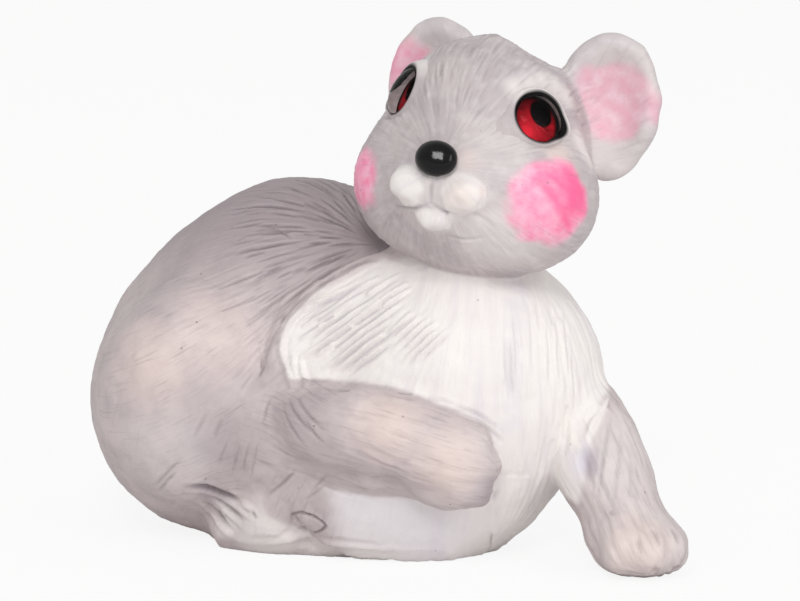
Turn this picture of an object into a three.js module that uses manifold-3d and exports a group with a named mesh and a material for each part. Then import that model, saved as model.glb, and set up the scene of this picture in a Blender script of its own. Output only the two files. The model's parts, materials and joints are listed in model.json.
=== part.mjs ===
// Reclining animal figurine, hand modelled from lumps of clay pressed together.
// Millimetres and degrees. Z is up, the flat base rests at Z = 0, and the bib faces -Y.
// Right and left are the animal's own. A spot on a form is given by its bearing, turned from
// straight ahead towards the animal's left, its rise above level, and how proud it stands.
import * as THREE from "three";
import { mergeVertices } from "three/addons/utils/BufferGeometryUtils.js";
import Module from "manifold-3d";

const wasm = await Module();
wasm.setup();
const at = (x, y, z) => new THREE.Vector3(x, y, z);
const turned = (x, y, z) => new THREE.Euler(...[x, y, z].map(THREE.MathUtils.degToRad), "ZXY");
const toward = (bearing, rise) => at(0, -1, 0).applyEuler(turned(-rise, 0, bearing));

// Fits
const SEAT_GAP = 0.2;
const BEAD_GAP = 0.1;
const TABLE_SINK = 0.15;

// Body: hip, back, chest and belly in one, measured from the hip's end
const BODY_LENGTH = 25.4;
const BODY_HEIGHT = 17.9;
const BODY_SOFTNESS = 3;
const HIP_LENGTH = 14.9;
const HIP_DEPTH = 14.4;
const HIP_HEIGHT = 14.4;
const HIP_SINK = 0.5;
const BACK_LENGTH = 15.4;
const BACK_DEPTH = 13.8;
const BACK_HEIGHT = 15.6;
const BACK_ALONG = 3.35;
const CHEST_LENGTH = 13.1;
const CHEST_DEPTH = 11.2;
const CHEST_HEIGHT = 12.5;
const CHEST_FORWARD = 5.1;
const CHEST_RISE = 2.2;
const BELLY_LENGTH = 12.6;
const BELLY_DEPTH = 10.2;
const BELLY_HEIGHT = 11;
const BELLY_BEHIND = 3.3;
const BELLY_FORWARD = 4.8;
const BELLY_SINK = 1.3;
const FUR_HEIGHT = 0.2;

// Bib laid over the chest
const BIB_THICKNESS = 0.5;
const BIB_WIDTH = 21.7;
const BIB_DEPTH = 19;
const BIB_HEIGHT = 20.4;
const BIB_ASIDE = 0.4;
const BIB_FORWARD = 6.3;
const BIB_DROP = 0.2;

// Head, which looks up and to its right
const HEAD_BEARING = 63.6;
const HEAD_RISE_ANGLE = 57.7;
const HEAD_PROUD = 6.2;
const HEAD_PITCH = -18;
const HEAD_TILT = 5;
const HEAD_YAW = -23.5;
const HEAD_SOFTNESS = 1.4;
const CRANIUM_WIDTH = 9.6;
const CRANIUM_LENGTH = 11;
const CRANIUM_HEIGHT = 10.2;
const CRANIUM_ASIDE = 0.5;
const CRANIUM_BACK = 0.6;
const CRANIUM_LIFT = 1;
const CHEEK_WIDTH = 6.2;
const CHEEK_LENGTH = 7.2;
const CHEEK_HEIGHT = 6.8;
const CHEEK_ASIDE = 3.1;
const CHEEK_FORWARD = 0.8;
const CHEEK_DROP = 1.8;
const JAW_WIDTH = 8.4;
const JAW_LENGTH = 8.6;
const JAW_HEIGHT = 7;
const JAW_FORWARD = 0.6;
const JAW_DROP = 2.4;
const MUZZLE_WIDTH = 5.4;
const MUZZLE_LENGTH = 4.8;
const MUZZLE_HEIGHT = 4.6;
const MUZZLE_FORWARD = 3.8;
const MUZZLE_DROP = 1.9;

// Eyes: a glossy dome over a painted backing, in a round socket under a rolled lid
const EYE_BEARING = 51;
const EYE_RISE_ANGLE = 23.5;
const EYE_WIDTH = 2.8;
const EYE_DOME_HEIGHT = 0.8;
const EYE_SINK = 0.2;
const DOME_RIM = 0.25;
const BACKING_THICKNESS = 0.5;
const LID_WIDTH = 0.35;
const LID_DEPTH = 1.4;
const LID_ASIDE = 0.15;
const LID_OUT = 0.1;
const LID_LIFT = 0.4;

// Ears
const EAR_WIDTH = 4.9;
const EAR_HEIGHT = 7.3;
const EAR_THICKNESS = 0.9;
const EAR_DISH = 0.9;
const EAR_TAPER = 0.12;
const EAR_PITCH = 10;
const LEFT_EAR_BEARING = 105.5;
const LEFT_EAR_RISE_ANGLE = 34.1;
const LEFT_EAR_PROUD = 1.5;
const LEFT_EAR_TILT = -8;
const LEFT_EAR_YAW = 20;
const RIGHT_EAR_BEARING = -113.5;
const RIGHT_EAR_RISE_ANGLE = 32.5;
const RIGHT_EAR_PROUD = 0;
const RIGHT_EAR_TILT = -4;
const RIGHT_EAR_YAW = 2;

// Nose, muzzle pads and chin, the nose and chin on the middle line
const NOSE_RISE_ANGLE = -10.8;
const NOSE_PROUD = 0.22;
const NOSE_WIDTH = 2.1;
const NOSE_DEPTH = 1.5;
const NOSE_HEIGHT = 1.7;
const PAD_BEARING = 13.3;
const PAD_RISE_ANGLE = -24.3;
const PAD_PROUD = -0.3;
const PAD_WIDTH = 2.5;
const PAD_DEPTH = 1.9;
const PAD_HEIGHT = 2.1;
const CHIN_RISE_ANGLE = -38.7;
const CHIN_PROUD = -0.14;
const CHIN_WIDTH = 2;
const CHIN_DEPTH = 1.7;
const CHIN_HEIGHT = 1.4;

// Neck pin
const PIN_DIAMETER = 1;
const PIN_LENGTH = 8;

// Right arm, laid across the belly
const RIGHT_SHOULDER_BEARING = -16;
const RIGHT_SHOULDER_RISE_ANGLE = -3;
const RIGHT_SHOULDER_PROUD = 1.1;
const RIGHT_WRIST_BEARING = 23.5;
const RIGHT_WRIST_RISE_ANGLE = -5.8;
const RIGHT_WRIST_PROUD = 1.37;
const RIGHT_ARM_HEIGHT = 5.4;
const RIGHT_ARM_DEPTH = 4;
const RIGHT_PAW_LENGTH = 3.8;
const RIGHT_PAW_DEPTH = 3.4;
const RIGHT_PAW_HEIGHT = 4.2;
const RIGHT_PAW_ALONG = 1;
const RIGHT_PAW_FORWARD = 0.1;
const RIGHT_PAW_DROP = 0.8;

// Left arm, which props up the chest with its paw on the table
const LEFT_SHOULDER_BEARING = 74.9;
const LEFT_SHOULDER_RISE_ANGLE = 3.1;
const LEFT_SHOULDER_PROUD = -1.1;
const LEFT_ARM_WIDTH = 4.7;
const LEFT_PAW_WIDTH = 5;
const LEFT_PAW_LENGTH = 4.2;
const LEFT_PAW_HEIGHT = 3.2;
const LEFT_PAW_ASIDE = 3.3;
const LEFT_PAW_FORWARD = 5.7;
const LEFT_PAW_HEADING = 12;
const LEFT_WRIST_INWARD = 0.8;
const LEFT_WRIST_BEHIND = 1.3;
const LEFT_WRIST_LIFT = 1.7;
const LIMB_SOFTNESS = 1.2;

// Fingers and toes, fanned out from a paw
const DIGIT_COUNT = 3;
const DIGIT_FAN = 42;
const DIGIT_SOFTNESS = 0.4;
const FINGER_LENGTH = 2.8;
const FINGER_DEPTH = 2.8;
const FINGER_HEIGHT = 1.7;
const FINGER_REACH = 1.25;
const TOE_LENGTH = 2.8;
const TOE_WIDTH = 1.8;
const TOE_HEIGHT = 2.2;
const TOE_REACH = 1.5;
const HIND_TOE_LENGTH = 2.4;
const HIND_TOE_WIDTH = 1.4;
const HIND_TOE_HEIGHT = 1.9;
const HIND_TOE_REACH = 1.3;

// Hind legs and tail
const RIGHT_HAUNCH_BEARING = -18.9;
const RIGHT_HAUNCH_RISE_ANGLE = 13.3;
const RIGHT_HAUNCH_PROUD = -2.66;
const RIGHT_HAUNCH_LENGTH = 10.8;
const RIGHT_HAUNCH_DEPTH = 8.4;
const RIGHT_HAUNCH_HEIGHT = 11.8;
const RIGHT_HAUNCH_TILT = 10;
const LEFT_HAUNCH_BEARING = 129.4;
const LEFT_HAUNCH_RISE_ANGLE = -4.3;
const LEFT_HAUNCH_PROUD = -1.76;
const LEFT_HAUNCH_LENGTH = 11.5;
const LEFT_HAUNCH_DEPTH = 8;
const LEFT_HAUNCH_HEIGHT = 11.5;
const RIGHT_FOOT_BEHIND = 8.3;
const RIGHT_FOOT_PROUD = 0;
const RIGHT_FOOT_LENGTH = 3.4;
const RIGHT_FOOT_WIDTH = 3.2;
const RIGHT_FOOT_HEIGHT = 2.2;
const RIGHT_FOOT_HEADING = 45;
const LEFT_FOOT_BEHIND = 4.63;
const LEFT_FOOT_PROUD = -0.1;
const LEFT_FOOT_LENGTH = 3.2;
const LEFT_FOOT_WIDTH = 2.8;
const LEFT_FOOT_HEIGHT = 1.6;
const TAIL_BEARING = -154.9;
const TAIL_RISE_ANGLE = -26;
const TAIL_PROUD = -0.12;
const TAIL_DIAMETER = 4;

// How finely the rounded forms are faceted
const BODY_DETAIL = 8;
const FUR_RIDGES = 24;
const FUR_RINGS = 20;
const HEAD_DETAIL = 8;
const LUMP_DETAIL = 5;
const FOOT_DETAIL = 6;
const BEAD_DETAIL = 3;
const ROUND_STEPS = 20;
const LIMB_RINGS = 8;
const LIMB_STEPS = 24;
const LIMB_CAP_STEPS = 9;
const ARC_STEPS = 4;
const NUDGE = 0.01;
const HALVINGS = 30;
const FAR = 40;

// Distance from a point to a rounded lump, negative inside it
function lump(centre, size, turn = turned(0, 0, 0)) {
  const untwist = new THREE.Quaternion().setFromEuler(turn).invert();
  const radii = size.clone().multiplyScalar(0.5);
  const squares = radii.clone().multiply(radii);
  return (point) => {
    const local = point.clone().sub(centre).applyQuaternion(untwist);
    const reach = local.clone().divide(radii).length();
    const slope = local.divide(squares).length();
    return slope > 0 ? (reach * (reach - 1)) / slope : -Math.min(...radii.toArray());
  };
}

// A lump drawn out from one point to another
function roll(from, to, depth, height) {
  const along = to.clone().sub(from).normalize();
  const side = at(0, 0, 1).cross(along).normalize();
  const basis = new THREE.Matrix4().makeBasis(along, side, along.clone().cross(side));
  const turn = new THREE.Euler().setFromRotationMatrix(basis, "ZXY");
  const centre = from.clone().lerp(to, 0.5);
  return lump(centre, at(from.distanceTo(to) + height, depth, height), turn);
}

// Lumps pressed together, their joins rubbed over by the softness
function pressed(softness, ...forms) {
  return (point) =>
    forms.map((form) => form(point)).reduce((one, other) => {
      const blend = Math.max(softness - Math.abs(one - other), 0);
      return Math.min(one, other) - (blend * blend) / (4 * softness);
    });
}

// Digits side by side, each at its own angle
function fan(step, digit) {
  return Array.from({ length: DIGIT_COUNT }, (_, index) => digit((index - (DIGIT_COUNT - 1) / 2) * step));
}

// Where a form's surface, grown outward, is met from a point inside it
function surfacePoint(form, heart, direction, grow = 0) {
  const away = direction.clone().normalize();
  let near = 0;
  let far = FAR;
  for (let step = 0; step < HALVINGS; step++) {
    const middle = (near + far) / 2;
    if (form(heart.clone().addScaledVector(away, middle)) < grow) near = middle;
    else far = middle;
  }
  return heart.clone().addScaledVector(away, near);
}

// A place that stands proud of a form's surface, or is sunk in it where proud is negative
function seat(form, heart, direction, proud) {
  return surfacePoint(form, heart, direction).addScaledVector(direction.clone().normalize(), proud);
}

// The frame of a spot on a form's surface: Y points straight out of it and Z up along it
function spotFrame(form, point) {
  const slope = (step) => form(point.clone().add(step)) - form(point.clone().sub(step));
  const out = at(slope(at(NUDGE, 0, 0)), slope(at(0, NUDGE, 0)), slope(at(0, 0, NUDGE))).normalize();
  const side = out.clone().cross(at(0, 0, 1)).normalize();
  return new THREE.Matrix4().makeBasis(side, out, side.clone().cross(out)).setPosition(point);
}

// The closed skin of a form, reached by rays from its heart
function skin(form, heart, detail, grow = 0) {
  const ball = bare(new THREE.IcosahedronGeometry(1, detail));
  return solid(moved(ball, (ray) => surfacePoint(form, heart, ray, grow)));
}

// The closed skin of a form in combed fur: its rays fan out from a pole, every second row on a ridge
function combedSkin(form, heart, pole) {
  const ball = bare(new THREE.SphereGeometry(1, 2 * FUR_RIDGES, FUR_RINGS));
  const turn = new THREE.Quaternion().setFromUnitVectors(at(0, 1, 0), pole);
  return solid(moved(ball, (ray) => {
    const ridge = Math.cos(FUR_RIDGES * Math.atan2(ray.z, ray.x)) * Math.hypot(ray.x, ray.z);
    return surfacePoint(form, heart, ray.applyQuaternion(turn), (ridge * FUR_HEIGHT) / 2);
  }));
}

// The closed skin of a limb, reached by rays from a spine inside it
function limbSkin(form, spine) {
  const frames = spine.computeFrenetFrames(LIMB_RINGS);
  const tube = new THREE.CapsuleGeometry(1, LIMB_RINGS, LIMB_CAP_STEPS, LIMB_STEPS, LIMB_RINGS);
  return solid(moved(bare(tube), (corner) => {
    const along = corner.y + LIMB_RINGS / 2;
    const ring = THREE.MathUtils.clamp(Math.round(along), 0, LIMB_RINGS);
    const ray = frames.tangents[ring].clone().multiplyScalar(along - ring);
    ray.addScaledVector(frames.binormals[ring], corner.x);
    ray.addScaledVector(frames.normals[ring], corner.z);
    return surfacePoint(form, spine.getPointAt(ring / LIMB_RINGS), ray);
  }));
}

// Geometry with shared corners and nothing but their places
function bare(geometry) {
  const places = new THREE.BufferGeometry();
  places.setAttribute("position", geometry.getAttribute("position"));
  places.setIndex(geometry.getIndex());
  return mergeVertices(places);
}

// Geometry whose every corner is moved by a rule
function moved(geometry, rule) {
  const places = geometry.getAttribute("position");
  for (let index = 0; index < places.count; index++) {
    const place = rule(new THREE.Vector3().fromBufferAttribute(places, index));
    places.setXYZ(index, place.x, place.y, place.z);
  }
  return geometry;
}

// Geometry as a solid that can be cut
function solid(geometry) {
  const shared = bare(geometry);
  const vertProperties = shared.getAttribute("position").array;
  const triVerts = new Uint32Array(shared.getIndex().array);
  return new wasm.Manifold(new wasm.Mesh({ numProp: 3, vertProperties, triVerts }));
}

// A solid as a named piece in its own paint
function piece(name, body, paint) {
  const { vertProperties, triVerts } = body.getMesh();
  const geometry = new THREE.BufferGeometry();
  geometry.setAttribute("position", new THREE.BufferAttribute(vertProperties, 3));
  geometry.setIndex(new THREE.BufferAttribute(triVerts, 1));
  geometry.computeVertexNormals();
  const mesh = new THREE.Mesh(geometry, new THREE.MeshStandardMaterial(paint));
  mesh.name = name;
  return mesh;
}

// The same place or size on the animal's other side
const mirrored = (place) => at(-place.x, place.y, place.z);

// Paints
const GREY_FUR = { color: 0xc4b9b8, roughness: 0.6, metalness: 0 };
const WHITE_FUR = { color: 0xf1eae8, roughness: 0.6, metalness: 0 };
const PINK_EAR = { color: 0xdcb9c2, roughness: 0.6, metalness: 0 };
const RED_EYE = { color: 0xb3232e, roughness: 0.4, metalness: 0 };
const CLEAR_DOME = { color: 0xe8e4e4, roughness: 0.05, metalness: 0 };
const BLACK_NOSE = { color: 0x141214, roughness: 0.15, metalness: 0 };
const STEEL = { color: 0x9a9a98, roughness: 0.35, metalness: 1 };

// The table top, which flattens whatever is pressed on it
const table = solid(new THREE.BoxGeometry(FAR * 2, FAR * 2, FAR).translate(0, 0, -FAR / 2));

// Body form, which carries every other piece
const hipCentre = at(HIP_LENGTH / 2, 0, HIP_HEIGHT / 2 - HIP_SINK);
const backCentre = at(hipCentre.x + BACK_ALONG, 0, BODY_HEIGHT - BACK_HEIGHT / 2);
const chestCentre = at(BODY_LENGTH - CHEST_LENGTH / 2, -CHEST_FORWARD, CHEST_RISE + CHEST_HEIGHT / 2);
const bellyCentre = at(chestCentre.x - BELLY_BEHIND, -BELLY_FORWARD, BELLY_HEIGHT / 2 - BELLY_SINK);
const bodyForm = pressed(
  BODY_SOFTNESS,
  lump(hipCentre, at(HIP_LENGTH, HIP_DEPTH, HIP_HEIGHT)),
  lump(backCentre, at(BACK_LENGTH, BACK_DEPTH, BACK_HEIGHT)),
  lump(chestCentre, at(CHEST_LENGTH, CHEST_DEPTH, CHEST_HEIGHT)),
  lump(bellyCentre, at(BELLY_LENGTH, BELLY_DEPTH, BELLY_HEIGHT)),
);
const bodyHeart = hipCentre.clone().lerp(backCentre, 0.5)
  .lerp(chestCentre.clone().lerp(bellyCentre, 0.5), 0.5);
const onBody = (bearing, rise, proud) => seat(bodyForm, bodyHeart, toward(bearing, rise), proud);
const onHip = (bearing, rise, proud) => seat(bodyForm, hipCentre, toward(bearing, rise), proud);
function onTable(behindBelly, proud, height) {
  const low = at(bellyCentre.x - behindBelly, hipCentre.y, height / 2 - TABLE_SINK);
  return seat(bodyForm, low, toward(0, 0), proud);
}

// Head: everything on it is placed in the head's own frame, looking along -Y
const headCentre = onBody(HEAD_BEARING, HEAD_RISE_ANGLE, HEAD_PROUD);
const headTurn = turned(HEAD_PITCH, HEAD_TILT, HEAD_YAW);
const headPlace = new THREE.Matrix4()
  .makeRotationFromEuler(headTurn)
  .setPosition(headCentre);
const headUnplaced = headPlace.clone().invert();
const cheekCentre = at(CHEEK_ASIDE, -CHEEK_FORWARD, -CHEEK_DROP);
const cheekSize = at(CHEEK_WIDTH, CHEEK_LENGTH, CHEEK_HEIGHT);
const headForm = pressed(
  HEAD_SOFTNESS,
  lump(at(-CRANIUM_ASIDE, CRANIUM_BACK, CRANIUM_LIFT), at(CRANIUM_WIDTH, CRANIUM_LENGTH, CRANIUM_HEIGHT)),
  lump(cheekCentre, cheekSize),
  lump(mirrored(cheekCentre), cheekSize),
  lump(at(0, -JAW_FORWARD, -JAW_DROP), at(JAW_WIDTH, JAW_LENGTH, JAW_HEIGHT)),
  lump(at(0, -MUZZLE_FORWARD, -MUZZLE_DROP), at(MUZZLE_WIDTH, MUZZLE_LENGTH, MUZZLE_HEIGHT)),
);
const headHeart = at(0, 0, 0);
const onHead = (bearing, rise, proud) => seat(headForm, headHeart, toward(bearing, rise), proud);
const headSeat = skin(headForm, headHeart, HEAD_DETAIL, SEAT_GAP);
const headSeatOnBody = headSeat.transform(headPlace.elements);

// Eyes, each in the frame of its own spot on the head
function spun(profile) {
  return solid(new THREE.LatheGeometry(profile.getPoints(ARC_STEPS), ROUND_STEPS));
}
const domeBack = -EYE_SINK - DOME_RIM;
const backingFront = domeBack - BEAD_GAP;
const backingBack = backingFront - BACKING_THICKNESS;
const eyeRadius = EYE_WIDTH / 2;
const domeProfile = new THREE.Path()
  .moveTo(0, domeBack)
  .lineTo(eyeRadius, domeBack)
  .lineTo(eyeRadius, -EYE_SINK)
  .absellipse(0, -EYE_SINK, eyeRadius, EYE_DOME_HEIGHT, 0, Math.PI / 2);
const backingProfile = new THREE.Path()
  .moveTo(0, backingBack)
  .lineTo(eyeRadius, backingBack)
  .lineTo(eyeRadius, backingFront)
  .lineTo(0, backingFront);
const socketRadius = eyeRadius + BEAD_GAP;
const socketProfile = new THREE.Path()
  .moveTo(0, backingBack - BEAD_GAP)
  .lineTo(socketRadius, backingBack - BEAD_GAP)
  .lineTo(socketRadius, EYE_WIDTH)
  .lineTo(0, EYE_WIDTH);
const lidCentre = at(LID_ASIDE, LID_OUT, LID_LIFT);
const lidSize = at(EYE_WIDTH + 2 * LID_WIDTH, LID_DEPTH, EYE_WIDTH + 2 * LID_WIDTH);
function eye(bearing, lidPlace) {
  const frame = spotFrame(headForm, onHead(bearing, EYE_RISE_ANGLE, 0)).elements;
  const lid = skin(lump(lidPlace, lidSize), lidPlace, BEAD_DETAIL).transform(frame);
  const socket = spun(socketProfile).transform(frame);
  return {
    dome: spun(domeProfile).transform(frame),
    backing: spun(backingProfile).transform(frame),
    socket,
    lid: lid.subtract(headSeat).subtract(socket),
  };
}
const leftEye = eye(EYE_BEARING, mirrored(lidCentre));
const rightEye = eye(-EYE_BEARING, lidCentre);

// Ears: a dished disc, narrower below, its back edge buried in the head
const earRadius = (EAR_WIDTH - EAR_THICKNESS) / 2;
const earProfile = new THREE.Path()
  .moveTo(0, EAR_DISH)
  .quadraticCurveTo(earRadius / 2, EAR_DISH, earRadius, 0)
  .absarc(earRadius, EAR_THICKNESS / 2, EAR_THICKNESS / 2, -Math.PI / 2, Math.PI / 2)
  .quadraticCurveTo(earRadius / 2, EAR_DISH + EAR_THICKNESS, 0, EAR_DISH + EAR_THICKNESS);
function ear(centre, turn) {
  const disc = bare(new THREE.LatheGeometry(earProfile.getPoints(ARC_STEPS), ROUND_STEPS));
  const dish = moved(disc.scale(1, 1, EAR_HEIGHT / EAR_WIDTH), (corner) => {
    const widening = 1 + (EAR_TAPER * corner.z) / (EAR_HEIGHT / 2);
    return at(corner.x * widening, corner.y, corner.z).applyEuler(turn).add(centre);
  });
  return solid(dish).subtract(headSeat);
}
const leftEarTurn = turned(EAR_PITCH, LEFT_EAR_TILT, LEFT_EAR_YAW);
const rightEarTurn = turned(EAR_PITCH, RIGHT_EAR_TILT, RIGHT_EAR_YAW);
const leftEar = ear(onHead(LEFT_EAR_BEARING, LEFT_EAR_RISE_ANGLE, LEFT_EAR_PROUD), leftEarTurn);
const rightEar = ear(onHead(RIGHT_EAR_BEARING, RIGHT_EAR_RISE_ANGLE, RIGHT_EAR_PROUD), rightEarTurn);

// Nose, muzzle pads and chin
const bead = (centre, size, grow = 0) => skin(lump(centre, size), centre, BEAD_DETAIL, grow);
const noseSize = at(NOSE_WIDTH, NOSE_DEPTH, NOSE_HEIGHT);
const noseCentre = onHead(0, NOSE_RISE_ANGLE, NOSE_PROUD);
const padSize = at(PAD_WIDTH, PAD_DEPTH, PAD_HEIGHT);
const leftPadCentre = onHead(PAD_BEARING, PAD_RISE_ANGLE, PAD_PROUD);
const rightPadCentre = mirrored(leftPadCentre);
const noseSeat = bead(noseCentre, noseSize, BEAD_GAP);
const leftPadSeat = bead(leftPadCentre, padSize, BEAD_GAP);
const rightPadSeat = bead(rightPadCentre, padSize, BEAD_GAP);
const nose = bead(noseCentre, noseSize).subtract(headSeat);
const leftPad = bead(leftPadCentre, padSize).subtract(headSeat).subtract(noseSeat);
const rightPad = bead(rightPadCentre, padSize).subtract(headSeat).subtract(noseSeat).subtract(leftPadSeat);
const chinSize = at(CHIN_WIDTH, CHIN_DEPTH, CHIN_HEIGHT);
const chin = bead(onHead(0, CHIN_RISE_ANGLE, CHIN_PROUD), chinSize)
  .subtract(headSeat)
  .subtract(leftPadSeat)
  .subtract(rightPadSeat);

// Neck pin, half in the head and half in the body, straight under the head
const underHead = at(0, 0, -1).transformDirection(headUnplaced);
const pinCentre = seat(headForm, headHeart, underHead, 0).applyMatrix4(headPlace);
function pinShape(clearance) {
  const radius = PIN_DIAMETER / 2 + clearance;
  const wire = new THREE.CylinderGeometry(radius, radius, PIN_LENGTH + 2 * clearance, ROUND_STEPS);
  return solid(wire.rotateX(Math.PI / 2).translate(...pinCentre.toArray()));
}
const pinBore = pinShape(BEAD_GAP);

// Body, its fur combed back from under the head, and bib
const bodySkin = (grow) => skin(bodyForm, bodyHeart, BODY_DETAIL, grow);
const bodySeat = bodySkin(SEAT_GAP);
const body = combedSkin(bodyForm, bodyHeart, toward(HEAD_BEARING, HEAD_RISE_ANGLE))
  .subtract(table)
  .subtract(headSeatOnBody)
  .subtract(pinBore);
const bibCentre = chestCentre.clone().add(at(BIB_ASIDE, -BIB_FORWARD, -BIB_DROP));
const bibForm = lump(bibCentre, at(BIB_WIDTH, BIB_DEPTH, BIB_HEIGHT));
const bibPatch = (grow) => skin(bibForm, bibCentre, BODY_DETAIL, grow);
const bib = bodySkin(SEAT_GAP + BIB_THICKNESS)
  .intersect(bibPatch(0))
  .subtract(bodySeat)
  .subtract(table)
  .subtract(headSeatOnBody);
const bibSeat = bodySkin(SEAT_GAP + BIB_THICKNESS + SEAT_GAP).intersect(bibPatch(SEAT_GAP));
const seated = (form) => form.subtract(table).subtract(bodySeat).subtract(bibSeat);

// Hind legs and tail
const rightHaunchSize = at(RIGHT_HAUNCH_LENGTH, RIGHT_HAUNCH_DEPTH, RIGHT_HAUNCH_HEIGHT);
const rightHaunchCentre = onHip(RIGHT_HAUNCH_BEARING, RIGHT_HAUNCH_RISE_ANGLE, RIGHT_HAUNCH_PROUD);
const rightHaunchForm = lump(rightHaunchCentre, rightHaunchSize, turned(0, RIGHT_HAUNCH_TILT, 0));
const haunchSkin = (grow) => skin(rightHaunchForm, rightHaunchCentre, LUMP_DETAIL, grow);
const rightHaunch = seated(haunchSkin(0));
const haunchSeat = haunchSkin(SEAT_GAP);
const leftHaunchSize = at(LEFT_HAUNCH_LENGTH, LEFT_HAUNCH_DEPTH, LEFT_HAUNCH_HEIGHT);
const leftHaunchCentre = onHip(LEFT_HAUNCH_BEARING, LEFT_HAUNCH_RISE_ANGLE, LEFT_HAUNCH_PROUD);
const leftHaunch = seated(skin(lump(leftHaunchCentre, leftHaunchSize), leftHaunchCentre, LUMP_DETAIL));
const rightFootSize = at(RIGHT_FOOT_WIDTH, RIGHT_FOOT_LENGTH, RIGHT_FOOT_HEIGHT);
const rightFootCentre = onTable(RIGHT_FOOT_BEHIND, RIGHT_FOOT_PROUD, RIGHT_FOOT_HEIGHT);
const hindToeSize = at(HIND_TOE_WIDTH, HIND_TOE_LENGTH, HIND_TOE_HEIGHT);
const rightFootForm = pressed(
  DIGIT_SOFTNESS,
  lump(rightFootCentre, rightFootSize, turned(0, 0, RIGHT_FOOT_HEADING)),
  ...fan(DIGIT_FAN, (angle) => {
    const turn = turned(0, 0, RIGHT_FOOT_HEADING + angle);
    return lump(at(0, -HIND_TOE_REACH, 0).applyEuler(turn).add(rightFootCentre), hindToeSize, turn);
  }),
);
const rightFoot = seated(skin(rightFootForm, rightFootCentre, FOOT_DETAIL)).subtract(haunchSeat);
const leftFootSize = at(LEFT_FOOT_WIDTH, LEFT_FOOT_LENGTH, LEFT_FOOT_HEIGHT);
const leftFootCentre = onTable(LEFT_FOOT_BEHIND, LEFT_FOOT_PROUD, LEFT_FOOT_HEIGHT);
const leftFoot = seated(bead(leftFootCentre, leftFootSize));
const tailSize = at(TAIL_DIAMETER, TAIL_DIAMETER, TAIL_DIAMETER);
const tail = seated(bead(onHip(TAIL_BEARING, TAIL_RISE_ANGLE, TAIL_PROUD), tailSize));

// Right arm
const rightShoulder = onBody(RIGHT_SHOULDER_BEARING, RIGHT_SHOULDER_RISE_ANGLE, RIGHT_SHOULDER_PROUD);
const rightWrist = onBody(RIGHT_WRIST_BEARING, RIGHT_WRIST_RISE_ANGLE, RIGHT_WRIST_PROUD);
const rightPaw = rightWrist.clone().add(at(RIGHT_PAW_ALONG, -RIGHT_PAW_FORWARD, -RIGHT_PAW_DROP));
const rightPawSize = at(RIGHT_PAW_LENGTH, RIGHT_PAW_DEPTH, RIGHT_PAW_HEIGHT);
const fingerSize = at(FINGER_LENGTH, FINGER_DEPTH, FINGER_HEIGHT);
const rightArmForm = pressed(
  DIGIT_SOFTNESS,
  pressed(
    LIMB_SOFTNESS,
    roll(rightShoulder, rightWrist, RIGHT_ARM_DEPTH, RIGHT_ARM_HEIGHT),
    lump(rightPaw, rightPawSize),
  ),
  ...fan(DIGIT_FAN, (angle) => {
    const turn = turned(0, angle, 0);
    return lump(at(FINGER_REACH, 0, 0).applyEuler(turn).add(rightPaw), fingerSize, turn);
  }),
);
const rightArmSpine = new THREE.CatmullRomCurve3([rightShoulder, rightWrist, rightPaw]);
const rightArm = seated(limbSkin(rightArmForm, rightArmSpine)).subtract(haunchSeat);

// Left arm
const leftShoulder = onBody(LEFT_SHOULDER_BEARING, LEFT_SHOULDER_RISE_ANGLE, LEFT_SHOULDER_PROUD);
const leftPaw = at(
  leftShoulder.x + LEFT_PAW_ASIDE,
  leftShoulder.y - LEFT_PAW_FORWARD,
  LEFT_PAW_HEIGHT / 2 - TABLE_SINK,
);
const leftPawSize = at(LEFT_PAW_WIDTH, LEFT_PAW_LENGTH, LEFT_PAW_HEIGHT);
const leftWrist = leftPaw.clone().add(at(-LEFT_WRIST_INWARD, LEFT_WRIST_BEHIND, LEFT_WRIST_LIFT));
const toeSize = at(TOE_WIDTH, TOE_LENGTH, TOE_HEIGHT);
const leftArmForm = pressed(
  DIGIT_SOFTNESS,
  pressed(
    LIMB_SOFTNESS,
    roll(leftShoulder, leftWrist, LEFT_ARM_WIDTH, LEFT_ARM_WIDTH),
    lump(leftPaw, leftPawSize),
  ),
  ...fan(DIGIT_FAN, (angle) => {
    const turn = turned(0, 0, LEFT_PAW_HEADING + angle);
    return lump(at(0, -TOE_REACH, 0).applyEuler(turn).add(leftPaw), toeSize, turn);
  }),
);
const leftArmSpine = new THREE.CatmullRomCurve3([leftShoulder, leftWrist, leftPaw]);
const leftArm = seated(limbSkin(leftArmForm, leftArmSpine));

// The pieces put together
const clay = new THREE.Group();
clay.name = "clay";
const headGroup = new THREE.Group();
headGroup.name = "head_group";
headGroup.position.copy(headCentre);
headGroup.rotation.copy(headTurn);
const head = skin(headForm, headHeart, HEAD_DETAIL)
  .subtract(leftEye.socket)
  .subtract(rightEye.socket)
  .subtract(pinBore.transform(headUnplaced.elements));
headGroup.add(
  piece("head", head, GREY_FUR),
  piece("right_ear", rightEar, PINK_EAR),
  piece("left_ear", leftEar, PINK_EAR),
  piece("right_eye_backing", rightEye.backing, RED_EYE),
  piece("left_eye_backing", leftEye.backing, RED_EYE),
  piece("right_eye_dome", rightEye.dome, CLEAR_DOME),
  piece("left_eye_dome", leftEye.dome, CLEAR_DOME),
  piece("right_eyelid", rightEye.lid, WHITE_FUR),
  piece("left_eyelid", leftEye.lid, WHITE_FUR),
  piece("nose", nose, BLACK_NOSE),
  piece("right_muzzle_pad", rightPad, WHITE_FUR),
  piece("left_muzzle_pad", leftPad, WHITE_FUR),
  piece("chin", chin, WHITE_FUR),
);
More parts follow.
